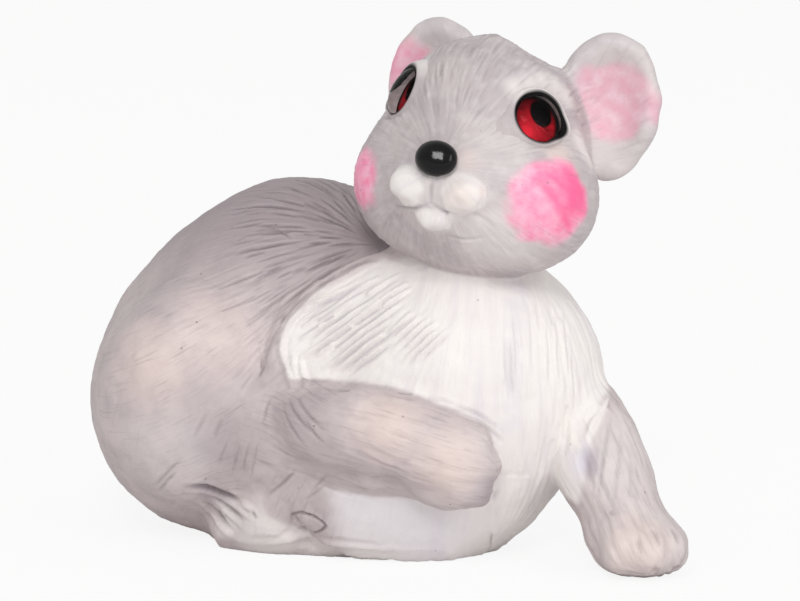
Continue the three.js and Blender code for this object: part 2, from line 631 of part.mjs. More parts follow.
clay.add(
  piece("body", body, GREY_FUR),
  piece("chest_bib", bib, WHITE_FUR),
  piece("right_haunch", rightHaunch, GREY_FUR),
  piece("left_haunch", leftHaunch, GREY_FUR),
  piece("right_hind_foot", rightFoot, GREY_FUR),
  piece("left_hind_foot", leftFoot, GREY_FUR),
  piece("tail", tail, GREY_FUR),
  piece("right_arm", rightArm, GREY_FUR),
  piece("left_arm", leftArm, GREY_FUR),
  piece("neck_pin", pinShape(0), STEEL),
  headGroup,
);

// The middle of the figurine's footprint is brought to the origin
const bounds = new THREE.Box3().setFromObject(clay, true);
const middle = bounds.getCenter(new THREE.Vector3());
clay.position.set(-middle.x, -middle.y, -bounds.min.z);
const figurine = new THREE.Group();
figurine.name = "figurine";
figurine.add(clay);
export default figurine;
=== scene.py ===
# %% [markdown]
# # A reclining clay animal at dolls' house scale
# The figurine was pressed together from lumps of polymer clay, combed with a needle for
# fur, hardened, and painted with thin acrylic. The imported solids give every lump's size and
# place. This lesson joins the lumps into one rubbed skin, combs the fur with thousands of
# small strokes, paints it by masks kept on the vertices, and parts the skin into the same
# named pieces again.

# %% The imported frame
import json
import bmesh
import bpy
import numpy as np
from mathutils import Matrix, Vector
from mathutils.bvhtree import BVHTree

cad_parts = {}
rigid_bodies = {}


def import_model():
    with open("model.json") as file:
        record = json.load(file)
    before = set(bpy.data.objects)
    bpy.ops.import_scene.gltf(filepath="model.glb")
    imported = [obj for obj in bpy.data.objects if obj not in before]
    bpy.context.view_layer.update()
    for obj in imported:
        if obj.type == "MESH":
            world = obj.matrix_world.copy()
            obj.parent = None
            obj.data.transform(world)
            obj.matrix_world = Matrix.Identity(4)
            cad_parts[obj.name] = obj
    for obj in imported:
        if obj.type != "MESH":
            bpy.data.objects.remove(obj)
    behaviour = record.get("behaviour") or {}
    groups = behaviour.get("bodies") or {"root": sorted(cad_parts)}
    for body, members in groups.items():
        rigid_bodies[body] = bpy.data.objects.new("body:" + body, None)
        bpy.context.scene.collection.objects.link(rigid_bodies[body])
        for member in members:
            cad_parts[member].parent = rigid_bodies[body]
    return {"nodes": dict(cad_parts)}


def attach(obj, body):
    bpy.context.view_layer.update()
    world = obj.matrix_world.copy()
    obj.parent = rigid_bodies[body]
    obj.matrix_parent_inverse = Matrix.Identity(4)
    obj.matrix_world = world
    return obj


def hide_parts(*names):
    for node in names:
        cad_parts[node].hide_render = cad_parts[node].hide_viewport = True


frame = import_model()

MM = 0.001
scene = bpy.context.scene
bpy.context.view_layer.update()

# %% [markdown]
# ## Camera
# The photograph was taken a little from above with a long lens, so parallel edges stay
# parallel. The camera stands 260 mm away, 10 degrees up, and one millimetre on the object is
# about 20 pixels in a frame 800 pixels wide.

# %% Camera
FRAME_WIDTH, FRAME_HEIGHT = 800, 601
MM_PER_PIXEL = 0.0506
DISTANCE = 260
TILT = np.radians(10)
AIM = np.array([0.85, 0.45, 12.1])
RIGHT = np.array([1, 0, 0])
UP = np.array([0, np.sin(TILT), np.cos(TILT)])
AHEAD = np.array([0, np.cos(TILT), -np.sin(TILT)])
EYE_POINT = AIM - DISTANCE * AHEAD
camera_data = bpy.data.cameras.new("camera")
camera_data.sensor_width = 36
camera_data.lens = camera_data.sensor_width * DISTANCE / (MM_PER_PIXEL * FRAME_WIDTH)
camera_data.clip_start = 10 * MM
camera = bpy.data.objects.new("camera", camera_data)
scene.collection.objects.link(camera)
camera.location = EYE_POINT * MM
camera.rotation_euler = (np.pi / 2 - TILT, 0, 0)
scene.camera = camera
print("lens in mm:", round(camera_data.lens, 1))

# %% [markdown]
# ## One mass of clay
# The solids of the frame are made of flat facets. Copies of them are merged, swelled a little
# so that neighbours touch, and packed with six fillers low on the near side, where the
# maker pushed clay under the thigh. The muzzle and the hind feet keep their size. Subdivision
# rounds the facets, and a voxel remesh gives the mass one even skin of small squares. The work
# is done in millimetres.

# %% Mass of clay
MUZZLE = ("right_muzzle_pad", "left_muzzle_pad", "chin")
FEET = ("right_hind_foot", "left_hind_foot")
LUMPS = ("body", "chest_bib", "right_haunch", "left_haunch", *FEET, "tail", "right_arm", "left_arm",
         "head", "right_ear", "left_ear", *MUZZLE)
SWELL, GRAIN = 0.12, 0.11
FILLERS = (((-6.0, -0.9, 0.9), (2.7, 3.0, 3.0)), ((-5.2, -2.3, 3.0), (2.6, 3.5, 4.4)),
           ((-6.4, -2.6, 5.2), (2.6, 2.9, 3.4)), ((-1.0, -1.6, 0.6), (6.0, 3.6, 1.6)),
           ((-2.7, -2.6, 0.5), (2.2, 2.4, 1.4)), ((-6.0, -4.6, 6.4), (2.6, 2.4, 2.6)))
depsgraph = bpy.context.evaluated_depsgraph_get()


def copy_in_mm(nodes, swell):
    shape = bmesh.new()
    owners = []
    for number, node in enumerate(nodes):
        shape.from_mesh(frame["nodes"][node].data)
        owners += [number] * (len(shape.faces) - len(owners))
    bmesh.ops.scale(shape, vec=Vector((1, 1, 1)) / MM, verts=shape.verts)
    bmesh.ops.remove_doubles(shape, verts=shape.verts, dist=0.001)
    shape.normal_update()
    for vert in shape.verts:
        vert.co += vert.normal * swell
    return shape, np.array(owners)


def as_object(name, shape):
    made = bpy.data.objects.new(name, bpy.data.meshes.new(name))
    shape.to_mesh(made.data)
    shape.free()
    scene.collection.objects.link(made)
    return made


def even_skin(name, shape, grain):
    made = as_object(name, shape)
    rough = made.data
    rounded = made.modifiers.new("rounded", "SUBSURF")
    rounded.levels = rounded.render_levels = 2
    even = made.modifiers.new("even", "REMESH")
    even.mode = "VOXEL"
    even.voxel_size = grain
    depsgraph.update()
    made.data = bpy.data.meshes.new_from_object(made.evaluated_get(depsgraph))
    made.modifiers.clear()
    bpy.data.meshes.remove(rough)
    return made


mass, _ = copy_in_mm([name for name in LUMPS if name not in MUZZLE + FEET], SWELL)
small, _ = copy_in_mm(MUZZLE + FEET, 0)
small_mesh = bpy.data.meshes.new("small")
small.to_mesh(small_mesh)
small.free()
mass.from_mesh(small_mesh)
bpy.data.meshes.remove(small_mesh)
for middle, radii in FILLERS:
    stretch = Matrix.LocRotScale(middle, None, radii)
    bmesh.ops.create_icosphere(mass, subdivisions=4, radius=1, matrix=stretch)
skin = even_skin("clay", mass, GRAIN)
count = len(skin.data.vertices)
places = np.empty((count, 3))
edges = np.empty((len(skin.data.edges), 2), int)
for values, source, field in ((places, skin.data.vertices, "co"), (edges, skin.data.edges, "vertices")):
    flat = np.empty(values.size, values.dtype)
    source.foreach_get(field, flat)
    values[:] = flat.reshape(values.shape)
print("points on the skin:", count)

# %% [markdown]
# ## Points and neighbours
# The skin is handled as arrays of points. Each point knows its neighbours, so it can be drawn
# towards their middle, and every point belongs to the solid nearest to it. A few rounds of
# voting among neighbours smooth the borders.

# %% Points and owners
VOTING_ROUNDS = 4
ends = np.concatenate([edges[:, 0], edges[:, 1]])
others = np.concatenate([edges[:, 1], edges[:, 0]])
valence = np.bincount(ends, minlength=count)


def around(values):
    sums = [np.bincount(ends, values[others, k], count) for k in range(values.shape[1])]
    return np.stack(sums, axis=1) / valence[:, None]


def blurred(mask, turns):
    values = mask.astype(float)[:, None]
    for _ in range(turns):
        values = around(values)
    return values[:, 0]


def normals_now():
    skin.data.vertices.foreach_set("co", places.ravel())
    skin.data.update()
    flat = np.empty(count * 3)
    skin.data.vertices.foreach_get("normal", flat)
    return flat.reshape(-1, 3)


def ramp(values, low, high):
    share = np.clip((values - low) / (high - low), 0, 1)
    return share * share * (3 - 2 * share)


def near(middle, radius):
    return 1 - ramp(np.linalg.norm(places - np.array(middle), axis=1), 0.3 * radius, radius)


solids, owners = copy_in_mm(LUMPS, 0)
nearest = BVHTree.FromBMesh(solids)
solids.free()
owner = owners[[nearest.find_nearest(point)[2] for point in places]]
votes = np.eye(len(LUMPS))[owner]
for _ in range(VOTING_ROUNDS):
    votes = around(votes)
owner = np.argmax(votes, axis=1)
squares = np.array([square.vertices[:] for square in skin.data.polygons])


def owned(*names):
    return np.isin(owner, [LUMPS.index(name) for name in names])


for number, name in enumerate(LUMPS):
    print(name, "points:", int((owner == number).sum()))

# %% [markdown]
# ## Rubbing
# Two moves of the thumb. Rubbing draws every point towards the middle of its neighbours.
# Filling does it only where the surface is hollow, and only outwards, so the clefts between
# lumps close while the lumps keep their size. Most filling was done round the thigh, shoulder,
# neck and ears. The rump, shoulder and snout were rubbed smooth.

# %% Rub and fill
FILL_SPOTS = (
    ((-4.8, -6, 7), 4.0), ((-4.0, -5.5, 2.5), 4.5), ((10, -3.5, 7.5), 3.0), ((9.2, -1.5, 20.5), 2.5),
    ((3.5, 1.2, 20.5), 3.0), ((2, 1.5, 16), 4.0), ((-3.4, -5.0, 12.6), 2.2), ((-1.2, -4.4, 14.0), 2.0),
    ((-2.6, -4.6, 0.5), 2.0),
)
FLANK = (-4, -6)
SHOULDER, HIND_FOOT, SNOUT = (-6.2, -6.0, 6.7), (-7.6, -3.4, 1.2), (2.6, -9.2, 18.9)
RUB_SPOTS = ((SHOULDER, 3.4, 900), (HIND_FOOT, 2.4, 50), (SNOUT, 2.6, 30))
RUB_STEP, FILL_STEP, NORMALS_LAST = 0.5, 0.9, 12


def region(share):
    part = np.flatnonzero(share > 0.001)
    row = np.full(count, -1)
    row[part] = np.arange(len(part))
    busy = row[ends] >= 0
    return part, row[ends[busy]], others[busy]


def pull(part, mine, theirs):
    total = np.stack([np.bincount(mine, places[theirs, k], len(part)) for k in range(3)], axis=1)
    return total / valence[part][:, None] - places[part]


def rub(share, turns):
    area = region(share)
    for _ in range(turns):
        places[area[0]] += RUB_STEP * share[area[0], None] * pull(*area)


def fill(share, turns):
    area = region(share)
    for turn in range(turns):
        if turn % NORMALS_LAST == 0:
            outward = normals_now()[area[0]]
        hollow = np.sum(pull(*area) * outward, axis=1)
        places[area[0]] += outward * (FILL_STEP * share[area[0]] * np.maximum(hollow, 0))[:, None]


rub(np.ones(count), 6)
fill(np.ones(count), 24)
hollows = ramp(places[:, 0], *FLANK)
for middle, radius in FILL_SPOTS:
    hollows = np.maximum(hollows, near(middle, radius))
fill(hollows, 240)
rub(blurred(owned("body", "right_haunch", "left_haunch", "tail"), 6), 60)
for middle, radius, turns in RUB_SPOTS:
    rub(near(middle, radius), turns)
rub(np.ones(count), 3)
print("points in hollows:", int((hollows > 0.5).sum()))

# %% [markdown]
# ## The unevenness of hand work
# No lump is a true ellipsoid. Three smooth noises, from four millimetres across and a tenth of
# a millimetre high down to half a millimetre across, give the slight waves that fingers leave.
# The muzzle is rougher. A row of the table is a height, a width and a seed.

# %% Uneven surface
LATTICE = 64
WAVES = ((0.1, 4.2, 1), (0.06, 1.5, 2), (0.025, 0.5, 4))
MUZZLE_WAVE = (0.09, 0.6, 3)


def waves(points, size, seed):
    lattice = np.random.default_rng(seed).uniform(-1, 1, (LATTICE, LATTICE, LATTICE))
    spread = points / size
    corner = np.floor(spread).astype(int)
    part = spread - corner
    part = part * part * (3 - 2 * part)
    total = np.zeros(len(points))
    for step in np.ndindex(2, 2, 2):
        share = np.prod(np.where(step, part, 1 - part), axis=1)
        cell = (corner + step) % LATTICE
        total += share * lattice[cell[:, 0], cell[:, 1], cell[:, 2]]
    return total


uneven = sum(height * waves(places, size, seed) for height, size, seed in WAVES)
uneven += MUZZLE_WAVE[0] * owned(*MUZZLE) * waves(places, *MUZZLE_WAVE[1:])
places += normals_now() * uneven[:, None]
print("waves in mm:", round(uneven.min(), 2), "to", round(uneven.max(), 2))

# %% [markdown]
# ## Pressing and pinching
# A place on the photograph, in pixels, is found on the clay by a ray from the camera. There the
# clay is pulled out or pressed in by a soft bump: the cheek comes forward, and the forearm gets
# thinner along its lower edge. A row is a pixel, a radius and an amount in millimetres. Then
# two lines trim the mass: the edge of the base, in x and y, and the crown of the head beside
# the ear, in pixels.

# %% Presses
FOCAL = DISTANCE / MM_PER_PIXEL
PRESSES = (
    (550, 205, 1.6, 0.15), (492, 128, 1.2, -0.14), (540, 54, 0.9, -0.45), (494, 42, 0.9, 0.1),
    (470, 45, 0.6, -0.1), (345, 484, 1.1, -0.8), (388, 491, 1.1, -0.8), (430, 499, 1.0, -0.5),
    (305, 472, 1.1, -0.6), (300, 386, 0.9, -0.3), (335, 383, 0.9, -0.3), (265, 425, 1.3, -0.35),
    (500, 470, 0.8, -0.12), (308, 522, 0.5, 0.12), (640, 540, 1.0, 0.1), (586, 462, 0.7, -0.25),
    (592, 553, 0.9, -0.35), (200, 538, 0.9, -0.5), (197, 522, 0.8, -0.3), (480, 38, 0.5, -0.12),
    (498, 40, 0.4, 0.1), (513, 45, 0.5, -0.1), (587, 44, 0.5, -0.12), (641, 50, 0.5, 0.1),
    (659, 100, 0.6, 0.12), (650, 132, 0.8, 0.2), (630, 160, 0.6, -0.1), (408, 32, 0.5, -0.12),
    (455, 24, 0.5, -0.1),
)
CROWN = ((470, 0), (500, 36), (510, 41), (530, 54), (550, 65), (580, 75))
BASE_EDGE = ((-9, -2.2), (-8.2, -2.6), (-6.6, -3.5), (-2.7, -4.7), (0.9, -5.8), (3.4, -5.6), (5.4, -4.0))
BASE_HEIGHT, BASE_FLARE, BASE_LEFT = 2, 1.3, 0.3


def skin_tree():
    return BVHTree.FromPolygons(places.tolist(), squares.tolist())


def spot(x, y):
    way = AHEAD + RIGHT * (x - FRAME_WIDTH / 2) / FOCAL + UP * (FRAME_HEIGHT / 2 - y) / FOCAL
    hit = surface.ray_cast(EYE_POINT, way)[0]
    return np.array(surface.find_nearest(EYE_POINT + way * DISTANCE)[0] if hit is None else hit)


surface = skin_tree()
normals = normals_now()
for x, y, radius, amount in PRESSES:
    away = np.linalg.norm(places - spot(x, y), axis=1)
    places += normals * (amount * np.exp(-(away / radius) ** 2))[:, None]
edge = np.interp(places[:, 0], *np.transpose(BASE_EDGE)) - BASE_FLARE * places[:, 2]
over = (places[:, 2] < BASE_HEIGHT) & (places[:, 0] < BASE_EDGE[-1][0]) & (places[:, 1] < edge)
places[over, 1] = (edge + BASE_LEFT * (places[:, 1] - edge))[over]
away = places - EYE_POINT
pixel = (away @ AHEAD) / FOCAL
line = np.interp(FRAME_WIDTH / 2 + (away @ RIGHT) / pixel, *np.transpose(CROWN))
proud = np.maximum(line - FRAME_HEIGHT / 2 + (away @ UP) / pixel, 0) * pixel * owned("head")
places -= np.outer(proud, UP)
surface = skin_tree()
print("base points trimmed:", int(over.sum()), "crown pressed by mm:", round(proud.max(), 2))

# %% [markdown]
# ## The lie of the fur
# The needle was drawn the way fur lies: away from the nose over the head, away from the neck
# over the back and then down over the flanks, in a fan over the bib, and along each limb.
# A rule gives that direction at any place, and a stroke follows it step by step over the
# surface.

# %% Fur directions
NECK = np.array([0.0, -2.0, 16.0])
NOSE = np.array([2.6, -9.6, 20.6])
RIGHT_ARM_WAY = np.array([0.96, -0.12, -0.26])
LEFT_ARM_WAY = np.array([0.36, -0.55, -0.75])


def unit(vectors):
    return vectors / np.maximum(np.linalg.norm(vectors, axis=-1, keepdims=True), 1e-9)


def lie_of_back(points):
    droop = 1.1 * ramp(points[:, 2], 12, 4)
    return unit(points - NECK) + np.outer(droop, (0, 0, -1))


def lie_of_head(points):
    return unit(points - NOSE)


def lie_of_bib(points):
    slant = np.radians(46 + 44 * ramp(points[:, 0], -3, 7))
    return -np.stack([np.cos(slant), 0 * slant, np.sin(slant)], axis=1)


def lie_along(way):
    return lambda points: np.tile(way, (len(points), 1))


def settle(points):
    found = [surface.find_nearest(point) for point in points]
    return np.array([hit[0] for hit in found]), np.array([hit[1] for hit in found])


def follow(seeds, lie, lengths, steps):
    spots, ups = settle(seeds)
    path, sides = [spots], [ups]
    for _ in range(steps):
        heading = lie(spots)
        heading = unit(heading - ups * np.sum(heading * ups, axis=1, keepdims=True))
        spots, ups = settle(spots + heading * (lengths / steps)[:, None])
        path.append(spots)
        sides.append(ups)
    return np.stack(path, axis=1), np.stack(sides, axis=1)


# %% [markdown]
# ## Combing
# A needle pushes a groove and throws up a small lip on both sides. Each stroke finds the
# points near it with a coarse grid of cells, lowers those under the needle and raises those
# beside it. How deep each point lies in a groove is kept as ink, because the dark wash of
# paint settles there. A stroke with a depth below zero is a raised hair. It is inked as chalk,
# for the pale paint that a dry brush leaves on it. A row of the table is a piece, the lie of
# its fur, the strokes' spacing, length, width and depth in millimetres, a seed, and how dark
# they are. A rule of calm weakens strokes where the photograph shows few.

# %% Carve along strokes
CELL, REACH, CELLS, OFFSET = 0.8, 0.5, 512, 200
CORNERS = np.array(list(np.ndindex(2, 2, 2))) * 2 * REACH - REACH
LIP, SAME_SIDE, DEPTH_SEEN, MOST_MOVED = 0.3, 0.25, 0.7, (-0.4, 0.3)
STEPS = 8
groove, crest, chalk = np.zeros(count), np.zeros(count), np.zeros(count)


def cell_keys(points):
    cells = np.floor(points / CELL).astype(int) + OFFSET
    return (cells[..., 0] * CELLS + cells[..., 1]) * CELLS + cells[..., 2]


def carve(strokes, ink=groove):
    keys = cell_keys(places)
    order = np.argsort(keys, kind="stable")
    keys = keys[order]
    normals = normals_now()
    move = np.zeros(count)
    for line, up, width, depth, dark in strokes:
        wanted = np.unique(cell_keys(line[:, None] + CORNERS))
        first, last = np.searchsorted(keys, wanted, "left"), np.searchsorted(keys, wanted, "right")
        close = np.concatenate([order[a:b] for a, b in zip(first, last)])
        start, step = line[:-1], np.diff(line, axis=0)
        away = places[close][:, None] - start
        along = np.clip(np.sum(away * step, axis=2) / np.maximum(np.sum(step * step, axis=1), 1e-9), 0, 1)
        away = away - along[..., None] * step
        height = np.sum(away * up[:-1], axis=2)
        side = np.sqrt(np.maximum(np.sum(away * away, axis=2) - height ** 2, 0))
        best = np.argmin(side + 0.3 * np.abs(height), axis=1)
        rows = np.arange(len(close))
        share = np.clip((best + along[rows, best]) / len(start), 0.02, 0.98)
        side, height = side[rows, best], height[rows, best]
        facing = np.sum(normals[close] * up[best], axis=1)
        taper = np.sqrt(np.sin(np.pi * share)) * ((facing > SAME_SIDE) & (np.abs(height) < DEPTH_SEEN))
        cut = taper * np.exp(-(side / width) ** 2)
        edge = taper * np.exp(-((side - 1.7 * width) / (0.8 * width)) ** 2)
        move[close] += depth * (LIP * edge - cut)
        ink[close] = np.maximum(ink[close], dark * cut)
        if ink is groove:
            crest[close] = np.maximum(crest[close], dark * edge)
    places[:] += normals * np.clip(move, *MOST_MOVED)[:, None]
    return len(strokes)


def comb(name, lie, spacing, length, width, depth, seed, dark, calm=None, ink=groove):
    chance = np.random.default_rng(seed)
    points = places[owned(name)]
    points = points[chance.permutation(len(points))]
    cells = np.floor(points / spacing).astype(int)
    seeds = points[np.sort(np.unique(cells, axis=0, return_index=True)[1])]
    total = len(seeds)
    path, ups = follow(seeds, lie, length * chance.uniform(0.5, 1.5, total), STEPS)
    strength = chance.uniform(0.25, 1.0, total) ** 1.5
    if calm is not None:
        strength *= calm(seeds)
    widths = width * chance.uniform(0.75, 1.25, total)
    return carve(list(zip(path, ups, widths, depth * strength, dark * strength)), ink)


def back_calm(points):
    return 0.06 + 0.94 * ramp(np.linalg.norm(points - NECK, axis=1), 9.0, 4.0)


def bib_calm(points):
    return 0.1 + 0.2 * ramp(points[:, 0], 5, 8)


def head_calm(points):
    return 0.4 + 0.6 * ramp(points[:, 2], 20, 22.5)


COMBS = (
    ("body", lie_of_back, 0.6, 1.5, 0.075, 0.05, 11, 1.2, back_calm),
    ("body", lie_of_back, 1.1, 2.2, 0.075, 0.08, 10, 1.4, back_calm),
    ("body", lie_of_back, 0.9, 1.6, 0.07, -0.03, 9, 0.5, None, chalk),
    ("right_haunch", lie_of_back, 0.9, 1.8, 0.1, 0.025, 12, 0.2),
    ("left_haunch", lie_of_back, 0.9, 2.4, 0.12, 0.06, 13, 0.6),
    ("tail", lie_of_back, 0.7, 1.2, 0.12, 0.07, 14, 0.6),
    ("head", lie_of_head, 0.7, 1.4, 0.08, 0.035, 15, 0.6, head_calm),
    ("head", lie_of_head, 0.6, 1.3, 0.08, -0.025, 19, 0.6, None, chalk),
    ("chest_bib", lie_of_bib, 0.8, 3.2, 0.13, 0.17, 16, 0.6, bib_calm),
    ("right_arm", lie_along(RIGHT_ARM_WAY), 0.9, 2.2, 0.13, 0.03, 17, 0.3),
    ("left_arm", lie_along(LEFT_ARM_WAY), 0.85, 2.0, 0.13, 0.05, 18, 0.4),
)
for row in COMBS:
    print(row[0], "strokes:", comb(*row))

# %% [markdown]
# ## Single lines
# Some marks show one by one: the crease beside the bib, the frayed lip of the bib, fingers,
# toes and the seam of the mouth. Each is drawn through a few pixels of the photograph, with
# its width and depth in millimetres (below zero is a raised ridge) and how dark it is. A fan
# fills the space between two edges with brush ridges, each with a groove beside it that is
# inked dark as painted shade, as are the lines under the bib's lip. Pale ridges are inked as
# chalk, and the strokes of the cheek as blush, which only colours.

# %% Single lines
CREASES = (
    (((283, 291), (274, 318), (268, 340), (262, 372)), 0.12, 0.06, 0.4),
    (((290, 188), (301, 192)), 0.08, 0.1, 1.0), (((267, 226), (280, 231), (292, 239)), 0.07, 0.08, 0.9),
    (((303, 203), (320, 211)), 0.07, 0.08, 0.8), (((326, 197), (349, 205)), 0.07, 0.08, 0.8),
    (((340, 212), (362, 222)), 0.07, 0.08, 0.9), (((296, 250), (322, 243)), 0.07, 0.06, 0.6),
    (((263, 358), (259, 378)), 0.07, 0.07, 0.6), (((276, 371), (279, 381)), 0.07, 0.07, 0.6),
    (((288, 398), (300, 420), (314, 434)), 0.09, 0.08, 0.7),
    (((297, 397), (309, 416), (324, 430)), 0.09, 0.08, 0.6),
    (((304, 418), (316, 436), (326, 444)), 0.08, 0.07, 0.6),
    (((282, 405), (292, 428), (304, 445)), 0.1, 0.08, 0.5),
    (((182, 459), (168, 472), (155, 486)), 0.1, 0.1, 0.5),
    (((178, 470), (166, 482), (159, 492)), 0.1, 0.09, 0.5),
    (((228, 440), (218, 465)), 0.08, 0.06, 0.4), (((240, 445), (231, 478)), 0.08, 0.06, 0.4),
    (((250, 440), (243, 472)), 0.08, 0.06, 0.4), (((259, 440), (251, 480)), 0.08, 0.06, 0.4),
    (((207, 412), (192, 440)), 0.12, 0.07, 0.4), (((222, 418), (210, 445)), 0.12, 0.07, 0.4),
    (((270, 398), (262, 425)), 0.1, 0.07, 0.5), (((265, 498), (284, 483), (297, 470)), 0.09, 0.09, 0.6),
    (((305, 500), (325, 485)), 0.09, 0.08, 0.5), (((310, 492), (328, 474)), 0.09, 0.08, 0.5),
)
HIND_TOES = (
    (((205, 502), (219, 513), (234, 531)), 0.09, 0.14, 0.9),
    (((217, 499), (231, 509), (243, 521)), 0.09, 0.14, 0.9),
    # A painted shadow: this deep line is inked fully dark under the overhang of the thigh.
    (((188, 488), (205, 487), (222, 493), (236, 500)), 0.22, 0.28, 1.0),
    (((252, 512), (256, 519)), 0.09, 0.12, 1.0),
    (((292, 524), (291, 515), (300, 512), (314, 516), (327, 526), (320, 532), (304, 530), (291, 523)),
     0.08, 0.14, 1.0),
)
TOE_RIDGES = (((199, 503), (213, 514), (230, 535)), ((211, 499), (226, 510), (240, 525)),
              ((223, 498), (237, 506), (248, 516)), ((241, 504), (247, 506), (252, 510)))
LEDGE = ((240, 541), (290, 539), (340, 544), (400, 550))
BIB_FANS = (
    (((306, 308), (290, 328), (286, 346), (294, 366), (318, 374), (345, 376)),
     ((356, 278), (384, 268), (398, 272), (408, 284), (414, 300), (410, 330)), 13, 1.4),
    (((378, 338), (412, 370)), ((420, 300), (450, 334)), 6, 0.85),
    (((498, 284), (572, 304)), ((500, 396), (580, 418)), 9, 0.5),
)
BIB_LIP = (
    ((378, 262), (360, 269), (342, 279)), ((344, 277), (330, 285), (318, 294)),
    ((320, 291), (308, 302), (298, 313)), ((300, 311), (290, 322), (284, 334)),
    ((283, 335), (281, 350), (285, 366)), ((607, 396), (603, 410)), ((600, 412), (591, 426), (587, 438)),
    ((579, 470), (573, 492)), ((292, 352), (294, 368), (298, 384)), ((299, 358), (302, 372), (306, 386)),
    ((286, 362), (289, 376), (293, 388)),
)
LIP_SHADE = (((372, 258), (354, 265), (336, 275)), ((338, 273), (324, 282), (313, 290)),
             ((314, 288), (303, 298), (292, 309)), ((293, 308), (284, 318), (278, 330)))
CHEEK_STROKES = (
    ((543, 170), (560, 184), (582, 203)), ((558, 166), (574, 184), (588, 207)),
    ((570, 166), (581, 180), (590, 198)), ((536, 178), (552, 196), (571, 222)),
    ((556, 206), (566, 220), (572, 236)),
)
ARM_EDGE = (((330, 386), (352, 389)), ((392, 389), (408, 391)), ((607, 396), (603, 410)))
FINGERS = (
    (((452, 405), (478, 414), (500, 431)), 0.09, 0.1, 0.7),
    (((458, 415), (484, 425), (503, 443)), 0.09, 0.09, 0.6),
    (((468, 425), (490, 440), (504, 460)), 0.1, 0.05, 0.3), (((497, 490), (491, 502)), 0.12, 0.14, 0.5),
    (((314, 387), (345, 391), (380, 391)), 0.09, 0.07, 0.6), (((385, 391), (414, 394)), 0.09, 0.1, 0.9),
    (((415, 396), (440, 400), (456, 405)), 0.08, 0.06, 0.5),
)
FINGER_RIDGES = (((454, 410), (481, 419), (501, 436)), ((362, 450), (386, 463), (410, 471)),
                 ((372, 445), (398, 458), (424, 468)), ((320, 440), (345, 452), (365, 460)))
LEFT_PAW = (
    (((652, 528), (660, 545)), 0.12, 0.16, 0.6), (((671, 527), (679, 544)), 0.12, 0.16, 0.6),
    (((636, 537), (641, 556)), 0.12, 0.12, 0.4), (((600, 521), (618, 509), (641, 506)), 0.12, 0.12, 0.5),
    (((612, 410), (604, 450), (598, 500)), 0.11, 0.08, 0.5),
    (((622, 425), (618, 465), (612, 505)), 0.11, 0.08, 0.4),
    (((631, 450), (632, 480), (628, 500)), 0.11, 0.08, 0.4),
    # Painted shade in the hollow between the bib and the arm.
    (((580, 448), (586, 466), (590, 482)), 0.25, 0.15, 0.4),
)
MOUTH = (
    (((394, 206), (414, 209), (431, 204)), 0.1, 0.12, 0.6),
    (((431, 204), (446, 213), (462, 216)), 0.1, 0.12, 0.6),
    (((431, 181), (430, 203)), 0.1, 0.12, 0.5), (((470, 213), (484, 219), (496, 230)), 0.12, 0.08, 0.2),
    (((448, 236), (464, 240), (482, 238)), 0.12, 0.07, 0.2),
)
BIB_FOLDS = (
    (((507, 337), (508, 370), (512, 405)), 0.25, 0.12, 0.35), (((519, 290), (523, 332)), 0.12, 0.06, 0.2),
    (((533, 286), (539, 345)), 0.12, 0.06, 0.25), (((546, 292), (554, 352)), 0.12, 0.06, 0.25),
    (((527, 350), (530, 425)), 0.12, 0.05, 0.2), (((541, 372), (540, 440)), 0.12, 0.05, 0.2),
    (((562, 380), (556, 450), (545, 492)), 0.14, 0.06, 0.2),
)
JITTER, BESIDE = 0.7, (2.5, 3.5)
PER_MARK, EASED = 6, 4


def drawn(pixels, width, depth, dark):
    marks = np.array([spot(*pixel) for pixel in pixels])
    steps = np.linspace(0, len(marks) - 1, PER_MARK * len(marks))
    line = np.stack([np.interp(steps, np.arange(len(marks)), marks[:, k]) for k in range(3)], axis=1)
    for _ in range(EASED):
        line[1:-1] = (line[:-2] + 2 * line[1:-1] + line[2:]) / 4
    return (*settle(line), width, depth, dark)


def between(edge, share):
    steps = np.arange(len(edge))
    return [np.interp(share * steps[-1], steps, values) for values in np.transpose(edge)]


def fan(start, end, number, strength, seed):
    chance = np.random.default_rng(seed)
    for k in range(number):
        share = (k + chance.uniform(0.3, 0.7)) / number
        one, other = np.array(between(start, share)), np.array(between(end, share))
        first, last = chance.uniform((0, 0.7), (0.2, 1))
        marks = [one + (other - one) * t + chance.uniform(-JITTER, JITTER, 2)
                 for t in np.linspace(first, last, 5)]
        yield drawn(marks, chance.uniform(0.09, 0.13), strength * chance.uniform(-0.2, -0.1), 0.0)
        # The groove beside each ridge is inked dark as painted shade.
        yield drawn([mark + BESIDE for mark in marks], 0.08, 0.05 * strength, 0.6 * strength)


def alike(lines, width, depth, dark):
    return [drawn(line, width, depth, dark) for line in lines]


lines = [drawn(*line) for line in (*CREASES, *HIND_TOES, *FINGERS, *LEFT_PAW, *MOUTH, *BIB_FOLDS)]
lines += [line for number, shape in enumerate(BIB_FANS) for line in fan(*shape, number)]
lines += alike(BIB_LIP, 0.15, -0.22, 0.0) + alike(LIP_SHADE, 0.09, 0.08, 0.7)
lines += alike(FINGER_RIDGES, 0.09, -0.07, 0.0)
pale = alike(TOE_RIDGES, 0.18, -0.2, 0.9) + alike([LEDGE], 0.24, -0.16, 0.3)
pale += alike(ARM_EDGE, 0.12, -0.1, 0.8)
blush = np.zeros(count)
print("cheek strokes:", carve(alike(CHEEK_STROKES, 0.22, 0.0, 1.0), blush))
print("single lines:", carve(lines), "pale:", carve(pale, chalk))

# %% [markdown]
# ## Eye sockets
# The eyes come later, but the clay makes room for them here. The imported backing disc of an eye
# gives its place: its thinnest direction is the way that the eye looks. Clay inside the ring
# of the lid is pressed in behind the iris, down to a profile of radius and height.

# %% Eye sockets
HEAD_MIDDLE, EYE_SHIFT = np.array([5.25, -3.21, 19.94]), 0.12
SOCKET = ((1.36, -0.4), (1.46, 0.0), (1.52, 0.4), (1.6, 1.2))
NEAR_SIDE = 2.5


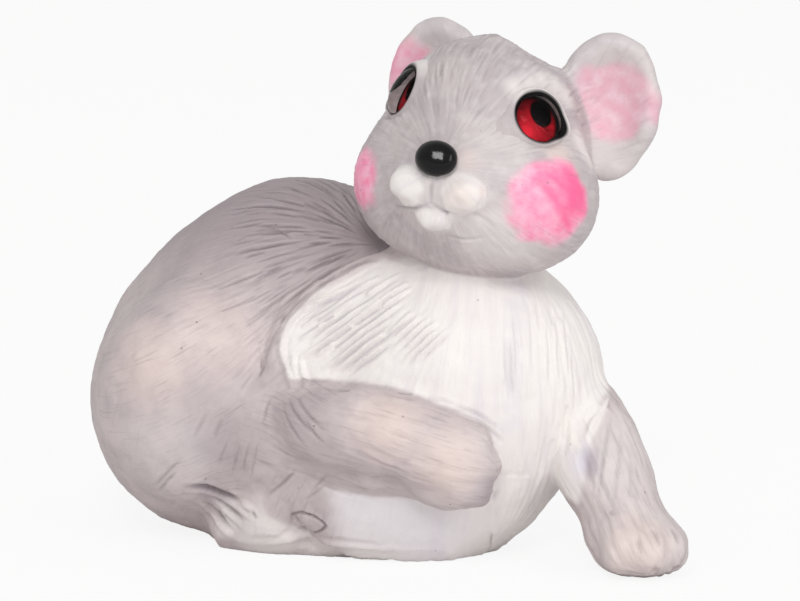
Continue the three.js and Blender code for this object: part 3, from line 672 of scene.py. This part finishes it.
def eye_place(side):
    disc = np.array([vert.co for vert in frame["nodes"][side + "_eye_backing"].data.vertices]) / MM
    middle = (disc.min(axis=0) + disc.max(axis=0)) / 2
    out = np.linalg.svd(disc - middle, full_matrices=False)[2][2]
    out = out * np.sign(out @ (middle - HEAD_MIDDLE))
    right = unit(np.cross((0, 0, 1), out))
    up = np.cross(out, right)
    middle = middle + out * np.max((disc - middle) @ out) + EYE_SHIFT * up
    return Matrix([*np.stack([right, up, out, middle], axis=1), (0, 0, 0, 1)])


for side in ("right", "left"):
    place = np.array(eye_place(side))
    local = (places - place[:3, 3]) @ place[:3, :3]
    reach = np.hypot(local[:, 0], local[:, 1])
    proud = local[:, 2] - np.interp(reach, *np.transpose(SOCKET))
    proud[(reach > SOCKET[-1][0]) | (np.abs(local[:, 2]) > NEAR_SIDE)] = 0
    proud = np.maximum(proud, 0)
    places -= np.outer(proud, place[:3, 2])
    print(side, "socket, deepest press in mm:", round(proud.max(), 2))

# %% [markdown]
# ## Paint masks
# Thin acrylic over grey clay: white on the bib, brows and muzzle, pink on the cheeks and in
# the ears, a peach flush where the clay shows through, and a darker grey towards the top of the
# back. Painted shade darkens hollows, folds and the clay under overhangs, and takes the white
# out under the chin.
# The white of the bib and of the left arm's cuff ends at a line, given as heights and places
# in millimetres. The rest are soft patches with edges broken up by noise. A row of the table
# is a mask, the pieces that it may lie on, its strength, a pixel of the photograph, its
# radius and softness in millimetres, a seed, and how ragged its edge is.

# %% Masks
BIB_EDGE = ((0, -2.0), (4, -2.6), (7, -3.6), (8.5, -4.3), (9.9, -4.9), (10.8, -5.2), (11.8, -4.9),
            (12.6, -4.1), (13.5, -3.1), (14.0, -2.2), (14.8, -0.3), (15.6, 0.6))
CUFF, CUFF_FRONT, CUFF_FOOT, CUFF_SOFT = ((3.5, 9.7), (6.3, 10.3), (7.9, 11.2)), -2, 3.4, 0.15
UNDER_CHIN_SHADOW = ((394, 252), 0.6, 0.4, 37)
DARKER_BACK_HEIGHTS = (11, 17)
BROW = ((515, 84), (528, 80), (542, 79), (556, 85), (567, 97))
masks = {name: np.zeros(count) for name in ("white", "pale", "pink", "rose", "peach", "dusk", "soot")}
head, ears, muzzle = owned("head"), owned("right_ear", "left_ear"), owned(*MUZZLE)
bib, arms = owned("chest_bib"), owned("right_arm", "left_arm")
rump = ~(head | ears | muzzle | bib | arms)


def patch(middle, radius, soft, seed, ragged=0.12):
    away = np.linalg.norm(places - middle, axis=1)
    rough = waves(places, 0.5 * radius, seed) + 0.6 * waves(places, 0.2 * radius, seed + 1)
    away += ragged * radius * rough
    return 1 - ramp(away, radius - soft, radius + soft)


def paint(name, where, strength, *shape):
    masks[name][where] = np.maximum(masks[name], strength * patch(*shape))[where]


def beyond(line):
    return places[:, 0] - np.interp(places[:, 2], *np.transpose(line))


inside = beyond(BIB_EDGE) + 0.2 * waves(places, 0.5, 39)
soft = 0.15 + 0.7 * ramp(places[:, 2], 8, 5)
border = bib | (owned("body") & (blurred(bib, 14) > 0.02))
white = masks["white"]
white[border] = ramp(inside, -soft, soft)[border]
# Painted shadow under the chin: the white is taken out there, so the grey shows.
white[border] *= (1 - 0.85 * patch(spot(*UNDER_CHIN_SHADOW[0]), *UNDER_CHIN_SHADOW[1:]))[border]
white[muzzle], white[ears] = 0.95, 0.3
masks["pale"][head | ears | muzzle] = 1
cuff = owned("left_arm") & (places[:, 1] < CUFF_FRONT) & (places[:, 2] > CUFF_FOOT)
white[cuff] = ramp(beyond(CUFF), CUFF_SOFT, -CUFF_SOFT)[cuff]
# The grey is darker towards the top of the back.
masks["dusk"][rump] = ramp(places[:, 2], *DARKER_BACK_HEIGHTS)[rump]
masks["rose"] = np.maximum(masks["rose"], blush)
PATCHES = (
    ("white", head, 0.45, (432, 200), 1.9, 0.8, 41), ("white", head, 0.3, (498, 158), 1.7, 1.0, 43),
    # The full-strength white at the temple, on the edge of the cheek, is a painted highlight.
    ("white", head, 1.0, (584, 148), 1.0, 0.6, 44),
    *(("white", head, 0.65, pixel, 0.55, 0.45, pixel[0]) for pixel in BROW),
    ("white", head, 0.6, (422, 72), 0.8, 0.4, 47), ("white", head, 0.55, (500, 240), 2.2, 1.2, 49),
    ("pink", head, 1.0, (552, 204), 2.22, 0.25, 51, 0.16),
    ("rose", head, 0.9, (576, 190), 1.25, 0.8, 53, 0.3),
    ("pink", head, 1.0, (359, 178), 1.5, 0.35, 55), ("peach", head, 0.9, (557, 151), 0.7, 0.4, 57),
    ("peach", head, 0.5, (468, 160), 0.6, 0.4, 59), ("peach", muzzle | head, 0.8, (482, 191), 0.25, 0.15, 61),
    ("peach", muzzle, 0.6, (458, 196), 0.8, 0.5, 63), ("pink", ears, 0.45, (618, 101), 2.15, 0.25, 65, 0.22),
    ("pink", ears, 0.65, (405, 68), 1.4, 0.5, 67), ("peach", rump, 0.7, (152, 362), 1.9, 1.5, 69),
    ("peach", rump, 0.5, (215, 330), 2.2, 1.8, 71), ("peach", arms, 0.9, (388, 425), 1.6, 1.2, 73),
    ("peach", arms, 0.9, (450, 465), 1.6, 1.2, 75), ("peach", arms, 0.8, (640, 540), 1.6, 1.0, 77),
    ("white", arms, 0.4, (606, 450), 2.6, 1.4, 79), ("white", arms, 0.3, (640, 540), 2.6, 1.2, 80),
    ("white", arms, 0.25, (470, 468), 1.8, 1.0, 82), ("white", rump, 0.25, (165, 455), 2.5, 1.5, 92),
    ("white", rump, 0.7, (228, 518), 1.0, 0.5, 86), ("white", rump, 0.75, (265, 540), 2.0, 1.0, 81),
    # From here on, the rows that darken are painted shade: under the end of the right arm, in the hollow
    # beside the left arm, round the thigh and the arm's root, under the thigh's overhang, along a fold of the
    # bib and low on the bib.
    ("white", rump, 0.65, (325, 547), 1.6, 0.8, 84), ("dusk", arms, 0.8, (485, 492), 0.9, 0.7, 83),
    ("dusk", arms, 0.7, (588, 462), 0.7, 0.5, 87), ("dusk", rump | arms, 0.45, (226, 445), 2.0, 1.3, 85),
    ("dusk", rump | arms, 0.5, (300, 430), 2.0, 1.2, 89), ("dusk", rump, 0.8, (212, 492), 0.8, 0.5, 90),
    *(("dusk", bib, 0.28, (516 - 0.05 * (y - 285), y), 0.55, 0.5, y) for y in range(285, 430, 20)),
    *(("dusk", bib, 0.35, (x, y), 2.3, 1.8, x) for x, y in ((420, 530), (385, 515))),
)
for name, where, strength, pixel, *shape in PATCHES:
    paint(name, where, strength, spot(*pixel), *shape)
masks = {name: blurred(mask, 3) for name, mask in masks.items()}
for name, ink in (("groove", groove), ("crest", crest), ("chalk", chalk)):
    masks[name] = np.clip(ink, 0, 1)
for name, mask in masks.items():
    print(name, "painted points:", int((mask > 0.5).sum()))

# %% [markdown]
# ## Paint
# One small function adds a node, and one sets or links the inputs of a node. The paint reads
# the masks. Noises of four sizes, in millimetres, give blotches of thin paint, dabs of the brush,
# grit in the surface and specks of dirt. A streaky noise runs the way that the fur lies, and
# a wider one like it is the brush in the white. Dark wash lies in the grooves and specks.

# %% Painted clay
BLOTCH, DAB, GRIT, SPECK = 2.2, 0.7, 0.12, 1.6
STREAK, BRUSH = 1.0, 6.0


def linear(hex_colour):
    parts = [int(hex_colour[i:i + 2], 16) / 255 for i in (0, 2, 4)]
    return [c / 12.92 if c <= 0.04045 else ((c + 0.055) / 1.055) ** 2.4 for c in parts] + [1]


def connect(tree, node, inputs):
    for socket, value in inputs.items():
        if isinstance(value, bpy.types.NodeSocket):
            tree.links.new(value, node.inputs[socket])
        else:
            node.inputs[socket].default_value = linear(value) if isinstance(value, str) else value


def add(tree, kind, inputs=None, **settings):
    made = tree.nodes.new(kind)
    for name, value in settings.items():
        setattr(made, name, value)
    connect(tree, made, inputs or {})
    return made


def mixed(tree, share, one, other):
    return add(tree, "ShaderNodeMix", {0: share, 6: one, 7: other}, data_type="RGBA").outputs[2]


def ranged(tree, value, low, high, least=0.0, most=1.0):
    return add(tree, "ShaderNodeMapRange", {0: value, 1: low, 2: high, 3: least, 4: most}).outputs[0]


def noise(tree, vector, size, detail):
    inputs = {"Vector": vector, "Scale": 1 / size, "Detail": detail}
    return add(tree, "ShaderNodeTexNoise", inputs).outputs["Fac"]


def local_noise(tree, size, detail):
    return noise(tree, add(tree, "ShaderNodeTexCoord").outputs["Object"], size * MM, detail)


def stored(tree, name, output="Fac"):
    return add(tree, "ShaderNodeAttribute", attribute_name=name).outputs[output]


def material(name):
    made = bpy.data.materials.new(name)
    made.use_nodes = True
    return made, made.node_tree, made.node_tree.nodes["Principled BSDF"]


def painted_clay(name, roughness):
    made, tree, shader = material(name)
    place = add(tree, "ShaderNodeTexCoord").outputs["Object"]
    blotch, dab = noise(tree, place, BLOTCH * MM, 3.0), noise(tree, place, DAB * MM, 3.0)
    grit = noise(tree, place, GRIT * MM, 4.0)
    specks = add(tree, "ShaderNodeTexVoronoi", {"Vector": place, "Scale": 1 / (SPECK * MM)})
    lie = stored(tree, "lie", "Vector")
    streak, brush = noise(tree, lie, STREAK, 2.0), noise(tree, lie, BRUSH, 3.0)
    mask = {key: stored(tree, key) for key in masks}
    grey = mixed(tree, ranged(tree, blotch, 0.35, 0.65), "bfb3b4", "cec2c1")
    # The grey darkens towards the top of the back, and as painted shade in hollows and under overhangs.
    grey = mixed(tree, ranged(tree, mask["dusk"], 0, 1, 0, 0.8), grey, "9b8d92")
    face = mixed(tree, ranged(tree, blotch, 0.35, 0.65), "b4aaad", "c2b8b8")
    colour = mixed(tree, mask["pale"], grey, face)
    dabbed = mixed(tree, mask["pale"], "a89da2", "e0d8d8")
    colour = mixed(tree, ranged(tree, dab, 0.5, 0.75, 0.0, 0.4), colour, dabbed)
    white = mixed(tree, blotch, "f0ebe6", "ebe6e3")
    white = mixed(tree, ranged(tree, brush, 0.45, 0.75, 0.0, 0.7), white, "e0d9de")
    # In painted shade the white turns a lilac grey.
    white = mixed(tree, mask["dusk"], white, "d2cddd")
    colour = mixed(tree, mask["white"], colour, white)
    colour = mixed(tree, ranged(tree, mask["peach"], 0, 1, 0, 0.6), colour, "ecd6cc")
    # Raised hairs are darker where the grey is darker and where painted shade lies.
    raised = mixed(tree, mask["dusk"], "e9e1e0", "b9adae")
    colour = mixed(tree, ranged(tree, mask["chalk"], 0, 1, 0, 0.45), colour, raised)
    pink = mixed(tree, ranged(tree, dab, 0.35, 0.65), "ff8fb6", "fdb9d1")
    pink = mixed(tree, mask["rose"], pink, "fb5493")
    colour = mixed(tree, ranged(tree, mask["pink"], 0, 1, 0, 0.95), colour, pink)
    wash = mixed(tree, mask["white"], mixed(tree, mask["pale"], "685b5f", "83787c"), "aaa1ac")
    colour = mixed(tree, ranged(tree, mask["crest"], 0, 1, 0, 0.3), colour, "d2c8c8")
    hairy = {0: ranged(tree, streak, 0.56, 0.72), 1: ranged(tree, mask["white"], 0, 1, 0.22, 0.06)}
    hairy = add(tree, "ShaderNodeMath", hairy, operation="MULTIPLY")
    colour = mixed(tree, hairy.outputs[0], colour, wash)
    colour = mixed(tree, ranged(tree, mask["groove"], 0.1, 0.9, 0, 0.6), colour, wash)
    colour = mixed(tree, ranged(tree, specks.outputs["Distance"], 0.025, 0.045, 0.6, 0), colour, wash)
    colour = mixed(tree, mask["soot"], colour, "0a0708")
    gloss = ranged(tree, grit, 0.3, 0.7, roughness - 0.07, roughness + 0.1)
    bump = {"Height": grit, "Strength": 0.3, "Distance": 0.04 * MM}
    bump = {"Height": streak, "Strength": 0.3, "Distance": 0.06 * MM,
            "Normal": add(tree, "ShaderNodeBump", bump).outputs[0]}
    connect(tree, shader, {"Base Color": colour, "Roughness": gloss, "IOR": 1.48,
                           "Normal": add(tree, "ShaderNodeBump", bump).outputs[0],
                           "Specular IOR Level": ranged(tree, mask["soot"], 0, 1, 0.5, 0.1)})
    return made


clay_paint = painted_clay("acrylic_on_clay", 0.48)
print("paint nodes:", len(clay_paint.node_tree.nodes))

# %% [markdown]
# ## Parting the skin
# The masks go onto the vertices. So does the lie of the fur, as two lengths: across the
# strokes in units of a hair's width, and along them in units of its length. An angle times a
# radius in millimetres gives the first on the round pieces. Then the skin is parted by owner
# into the named pieces, which keep the normals of the whole, so no seam shows.

# %% Part the skin
HAIR_WIDTH, HAIR_LENGTH, PIECE_STEP = 0.12, 1.6, 7.0
BACK_ARC, FACE_ARC, BIB_ARC = 8, 4, 14
ARM_TILTS = {"right_arm": (0.27, 1.0), "left_arm": (0.9, 0.43)}
HEAD_AXES = np.array([[0.9028, 0.3792, 0.2027], [-0.4219, 0.8722, 0.2476], [-0.0829, -0.309, 0.9474]])
BIB_TOP = np.array([5.0, -5.0, 24.0])
places[:, 2] = np.maximum(places[:, 2], 0)
away = places - NECK
across = BACK_ARC * np.arctan2(away[:, 1] + 0.4 * away[:, 0], away[:, 2] - 0.5 * away[:, 0])
along = np.linalg.norm(away, axis=1)
local = (places - NOSE) @ HEAD_AXES
face = head | ears | muzzle
across[face] = (FACE_ARC * np.arctan2(local[:, 0], local[:, 2]))[face]
along[face] = np.linalg.norm(local, axis=1)[face]
hang = places - BIB_TOP
across[bib] = (BIB_ARC * np.arctan2(hang[:, 0], -hang[:, 2]))[bib]
along[bib] = np.linalg.norm(hang, axis=1)[bib]
for name, tilt in ARM_TILTS.items():
    arm = owned(name)
    across[arm] = (tilt[0] * places[:, 0] + tilt[1] * places[:, 2])[arm]
    along[arm] = (tilt[1] * places[:, 0] - tilt[0] * places[:, 2])[arm]
lie = np.stack([across / HAIR_WIDTH, along / HAIR_LENGTH, PIECE_STEP * owner], axis=1)
mesh = skin.data
outward = normals_now()
mesh.vertices.foreach_set("co", (places * MM).ravel())
mesh.attributes.new("lie", "FLOAT_VECTOR", "POINT").data.foreach_set("vector", lie.ravel())
mesh.attributes.new("outward", "FLOAT_VECTOR", "POINT").data.foreach_set("vector", outward.ravel())
for name, mask in masks.items():
    mesh.attributes.new(name, "FLOAT", "POINT").data.foreach_set("value", mask)
mesh.shade_smooth()
for name in LUMPS:
    mesh.materials.append(bpy.data.materials.new("part_" + name))
mesh.polygons.foreach_set("material_index", owner[squares[:, 0]].astype(np.int32))
mesh.update()
bpy.context.view_layer.objects.active = skin
skin.select_set(True)
bpy.ops.object.mode_set(mode="EDIT")
bpy.ops.mesh.separate(type="MATERIAL")
bpy.ops.object.mode_set(mode="OBJECT")
SLOTS = {"right_ear": "pink_ear", "left_ear": "pink_ear",
         **dict.fromkeys(("chest_bib", *MUZZLE), "white_fur")}


def keep(made, node, slot, finish):
    made.data.materials.clear()
    made.data.materials.append(finish)
    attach(made, "root")
    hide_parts(node)


for made in [thing for thing in scene.objects if thing.name.startswith("clay")]:
    marker = made.data.materials[0]
    name = marker.name.removeprefix("part_")
    made.name = made.data.name = "skin_" + name
    flat = np.empty(3 * len(made.data.vertices))
    made.data.attributes["outward"].data.foreach_get("vector", flat)
    made.data.normals_split_custom_set_from_vertices(flat.reshape(-1, 3))
    keep(made, name, SLOTS.get(name, "grey_fur"), clay_paint)
    bpy.data.materials.remove(marker)
    print(made.name, "vertices:", len(made.data.vertices))

# %% [markdown]
# ## Nose
# A bead of black clay under gloss varnish, a little flat where the key lamp glints.

# %% Nose
BEAD_SWELL, BEAD_GRAIN = 0.08, 0.05
GLINT_WAY, GLINT_DEPTH, GLINT_PRESS = unit(np.array((-0.02, -0.9, 0.43))), 0.55, 0.6
bead, _ = copy_in_mm(("nose",), BEAD_SWELL)
nose = even_skin("nose_bead", bead, BEAD_GRAIN)
soft = nose.modifiers.new("soft", "SMOOTH")
soft.factor, soft.iterations = 0.5, 12
bead_points = np.array([vert.co for vert in nose.data.vertices])
depth = (bead_points - bead_points.mean(axis=0)) @ GLINT_WAY
bead_points -= np.outer(GLINT_PRESS * np.maximum(depth - GLINT_DEPTH, 0), GLINT_WAY)
nose.data.vertices.foreach_set("co", (bead_points * MM).ravel())
nose.data.shade_smooth()
print("nose depth in mm:", round(depth.max(), 2))
black_gloss, tree, shader = material("black_gloss_varnish")
mottle = local_noise(tree, 0.3, 3.0)
wavy = add(tree, "ShaderNodeBump", {"Height": mottle, "Strength": 0.12, "Distance": 0.05 * MM})
connect(tree, shader, {"Base Color": mixed(tree, mottle, "020203", "0d0a0b"), "Normal": wavy.outputs[0],
                       "Roughness": ranged(tree, mottle, 0.3, 0.7, 0.06, 0.16), "IOR": 1.5,
                       "Specular IOR Level": 0.28})
keep(nose, "nose", "black_nose", black_gloss)

# %% [markdown]
# ## Eyes
# Each eye is a clear dome over a painted iris, set in a ring of clay, the lid. A profile of
# radius and height is spun round the eye's axis. The lid's points are then moved by their
# angle: it is pulled to a point at its outer lower corner, and hangs over the iris at the
# brow. Its inner edge is lined in black, and its skirt runs under the clay of the head.

# %% Eyes
IRIS_RADIUS = 1.35
DOME_RADIUS, DOME_FOOT, DOME_RISE = 1.4, 0.35, 0.8
DOME = [(0, 0.0), (DOME_RADIUS, 0.0)]
DOME += [(DOME_RADIUS * np.cos(t), DOME_FOOT + DOME_RISE * np.sin(t)) for t in np.linspace(0, np.pi / 2, 20)]
IRIS = [(0, -0.3), (IRIS_RADIUS, -0.3)]
IRIS += [(r, 0.06 - 0.04 * (r / IRIS_RADIUS) ** 2) for r in np.linspace(IRIS_RADIUS, 0, 24)]
LID = [(1.42, 0.3), (1.2, 0.7), (1.18, 0.78), (1.24, 0.83), (1.34, 0.85), (1.42, 0.85), (1.5, 0.82),
       (1.6, 0.74), (1.75, 0.56), (1.95, 0.28), (2.2, -0.05), (2.4, -0.35), (1.6, -0.3), (1.42, 0.3)]
LID_EDGE, LINER, HIDDEN_WALL = 1.18, 1.42, (1.7, 0.5)
SPIN_STEPS, JOIN = 72, 0.0001
PAINTED_HIGHLIGHT_SPOT, PAINTED_HIGHLIGHT_SIZE = (-0.5, -0.48), 0.45
CORNER, CORNER_SPREAD = np.radians(-36), np.radians(24)
PUPIL, IRIS_SEEN = np.array([0.52, 0.32]), np.array([-0.04, -0.02])


def spun(name, profile, place, mirror, rule=None):
    shape = bmesh.new()
    corners = [shape.verts.new((r, 0, h)) for r, h in profile]
    sides = [shape.edges.new(pair) for pair in zip(corners, corners[1:])]
    bmesh.ops.spin(shape, geom=corners + sides, axis=(0, 0, 1), cent=(0, 0, 0), steps=SPIN_STEPS,
                   angle=2 * np.pi, use_merge=True)
    bmesh.ops.remove_doubles(shape, verts=shape.verts, dist=JOIN)
    bmesh.ops.recalc_face_normals(shape, faces=shape.faces)
    flat = np.array([vert.co for vert in shape.verts])
    if rule:
        for vert, moved in zip(shape.verts, rule(flat, mirror)):
            vert.co = moved
    bmesh.ops.transform(shape, matrix=Matrix.Scale(MM, 4) @ place, verts=shape.verts)
    made = as_object(name, shape)
    made.data.shade_smooth()
    return made, flat


def reach_of(flat):
    return np.hypot(flat[:, 0], flat[:, 1])


def corner_pull(flat, mirror):
    turn = np.arctan2(flat[:, 1], flat[:, 0] * mirror) - CORNER
    return np.exp(-((np.mod(turn + np.pi, 2 * np.pi) - np.pi) / CORNER_SPREAD) ** 2)


def brow_side(flat, mirror):
    way = 0.77 * flat[:, 1] + 0.64 * flat[:, 0] * mirror
    return 0.5 + 0.5 * way / reach_of(flat)


def lid_rule(flat, mirror):
    reach = reach_of(flat)
    shift = corner_pull(flat, mirror) * np.interp(reach, (LID_EDGE, LINER, 1.6, 2.2), (0.1, 0.35, 0.3, 0.0))
    shift += 0.03 * waves(flat, 0.6, 91)
    high = brow_side(flat, mirror)
    shift -= 0.1 * high * np.interp(reach, (LID_EDGE, 1.34, LINER), (1.0, 0.6, 0.0))
    return flat * np.stack([1 + shift / reach, 1 + shift / reach, 0.56 + 0.44 * high], axis=1)


def store(made, **values):
    for name, value in values.items():
        kind = ("FLOAT_VECTOR", "vector") if value.ndim > 1 else ("FLOAT", "value")
        made.data.attributes.new(name, kind[0], "POINT").data.foreach_set(kind[1], value.ravel())


red_iris, tree, shader = material("red_lacquer")
threads = noise(tree, stored(tree, "fibre", "Vector"), 0.25, 3.0)
colour = mixed(tree, ranged(tree, threads, 0.35, 0.65), "7d0a17", "c01626")
# Painted shade: the iris is darker at the top.
colour = mixed(tree, stored(tree, "shade"), colour, "5c0710")
# Painted highlight: brighter red at the lower left, where the dome gathers the light.
colour = mixed(tree, stored(tree, "gleam"), colour, "e8283a")
colour = mixed(tree, ranged(tree, stored(tree, "rim"), 1.08, 1.24), colour, "0c0204")
colour = mixed(tree, ranged(tree, stored(tree, "pupil"), 0.64, 0.57), colour, "020102")
connect(tree, shader, {"Base Color": colour, "Specular IOR Level": 0.1,
                       "Roughness": ranged(tree, threads, 0.3, 0.7, 0.4, 0.55)})
clear_dome, tree, shader = material("clear_glass")
haze = local_noise(tree, 0.8, 2.0)
connect(tree, shader, {"Base Color": mixed(tree, haze, "ffffff", "fff4f2"), "IOR": 1.12,
                       "Roughness": ranged(tree, haze, 0.3, 0.7, 0.0, 0.04), "Transmission Weight": 1.0})

for side, mirror in (("left", 1), ("right", -1)):
    place = eye_place(side)
    iris, flat = spun("iris_" + side, IRIS, place, mirror)
    reach = reach_of(flat)
    across = np.stack([flat[:, 0] * mirror, flat[:, 1]], axis=1)
    ray = unit(across)
    store(iris, fibre=np.stack([ray[:, 0], ray[:, 1], 0.4 * reach], axis=1),
          # The iris keeps its painted shade at the top and its painted highlight at the lower left.
          rim=np.linalg.norm(across - IRIS_SEEN, axis=1),
          shade=0.8 * ramp(across[:, 1], 0.2, 0.9),
          pupil=np.linalg.norm((across - PUPIL) * (1.1, 0.92), axis=1),
          gleam=np.exp(-(np.linalg.norm(across - PAINTED_HIGHLIGHT_SPOT, axis=1) / PAINTED_HIGHLIGHT_SIZE) ** 2))
    keep(iris, side + "_eye_backing", "red_eye", red_iris)
    dome, _ = spun("dome_" + side, DOME, place, mirror)
    keep(dome, side + "_eye_dome", "clear_dome", clear_dome)
    lid, flat = spun("lid_" + side, LID, place, mirror, lid_rule)
    reach = reach_of(flat)
    upper = brow_side(flat, mirror)
    lined = 1 - ramp(reach - 0.1 * upper, LINER - 0.12, LINER - 0.06)
    lined[(reach < HIDDEN_WALL[0]) & (flat[:, 2] < HIDDEN_WALL[1])] = 1
    store(lid, soot=lined, white=0.7 * ramp(upper, 0.4, 0.8), pale=np.ones(len(flat)),
          groove=0.25 * (1 - upper))
    soft = lid.modifiers.new("soft", "SUBSURF")
    soft.levels = soft.render_levels = 2
    keep(lid, side + "_eyelid", "white_fur", clay_paint)
    print(side, "eye set, iris points:", len(iris.data.vertices))

# %% [markdown]
# ## Neck pin
# A short steel wire holds the head. It is inside the clay, and only shows when the figurine is
# taken apart.

# %% Neck pin
steel, tree, shader = material("drawn_steel")
scratch = local_noise(tree, 0.15, 4.0)
connect(tree, shader, {"Base Color": mixed(tree, scratch, "8d8c8a", "a9a8a5"), "Metallic": 1.0,
                       "Roughness": ranged(tree, scratch, 0.3, 0.7, 0.28, 0.45)})
pin = frame["nodes"]["neck_pin"]
pin.data.materials.clear()
pin.data.materials.append(steel)
print("neck pin:", steel.name)

# %% [markdown]
# ## Floor, world and lamps
# A sheet of white card, and two large soft lamps: the key from above in front, the fill from
# the right. The camera sees most of the card as a plain glow, so it stays white, with a faint
# shadow.

# %% Stage
FLOOR_HALF, GLOW_SHARE, WORLD_STRENGTH = 1.5, 0.88, 0.58
LAMP_AIM = Vector((0, 0, 0.012))
floor_shape = bmesh.new()
bmesh.ops.create_grid(floor_shape, x_segments=1, y_segments=1, size=FLOOR_HALF)
floor = as_object("floor", floor_shape)
card, tree, _ = material("white_card")
seen = add(tree, "ShaderNodeLightPath").outputs["Is Camera Ray"]
matt = add(tree, "ShaderNodeBsdfDiffuse", {"Color": "f2f0f0"})
glow = add(tree, "ShaderNodeEmission", {"Color": "ffffff", "Strength": 1.0})
share = add(tree, "ShaderNodeMath", {0: seen, 1: GLOW_SHARE}, operation="MULTIPLY")
both = add(tree, "ShaderNodeMixShader", {0: share.outputs[0], 1: matt.outputs[0], 2: glow.outputs[0]})
connect(tree, tree.nodes["Material Output"], {"Surface": both.outputs[0]})
floor.data.materials.append(card)
world = bpy.data.worlds.new("studio")
world.use_nodes = True
scene.world = world
sky = world.node_tree
connect(sky, sky.nodes["Background"], {"Color": "ffffff", "Strength": WORLD_STRENGTH})


def lamp(name, place, size, power):
    data = bpy.data.lights.new(name, "AREA")
    data.size, data.energy = size, power
    made = bpy.data.objects.new(name, data)
    scene.collection.objects.link(made)
    made.location = place
    made.rotation_euler = (LAMP_AIM - Vector(place)).to_track_quat("-Z", "Y").to_euler()


lamp("key", (-0.05, -0.42, 0.36), 0.16, 1.03)
lamp("fill", (0.38, -0.32, 0.2), 0.3, 0.7)
scene.view_settings.view_transform = "Standard"
print("lamps:", len(bpy.data.lights))
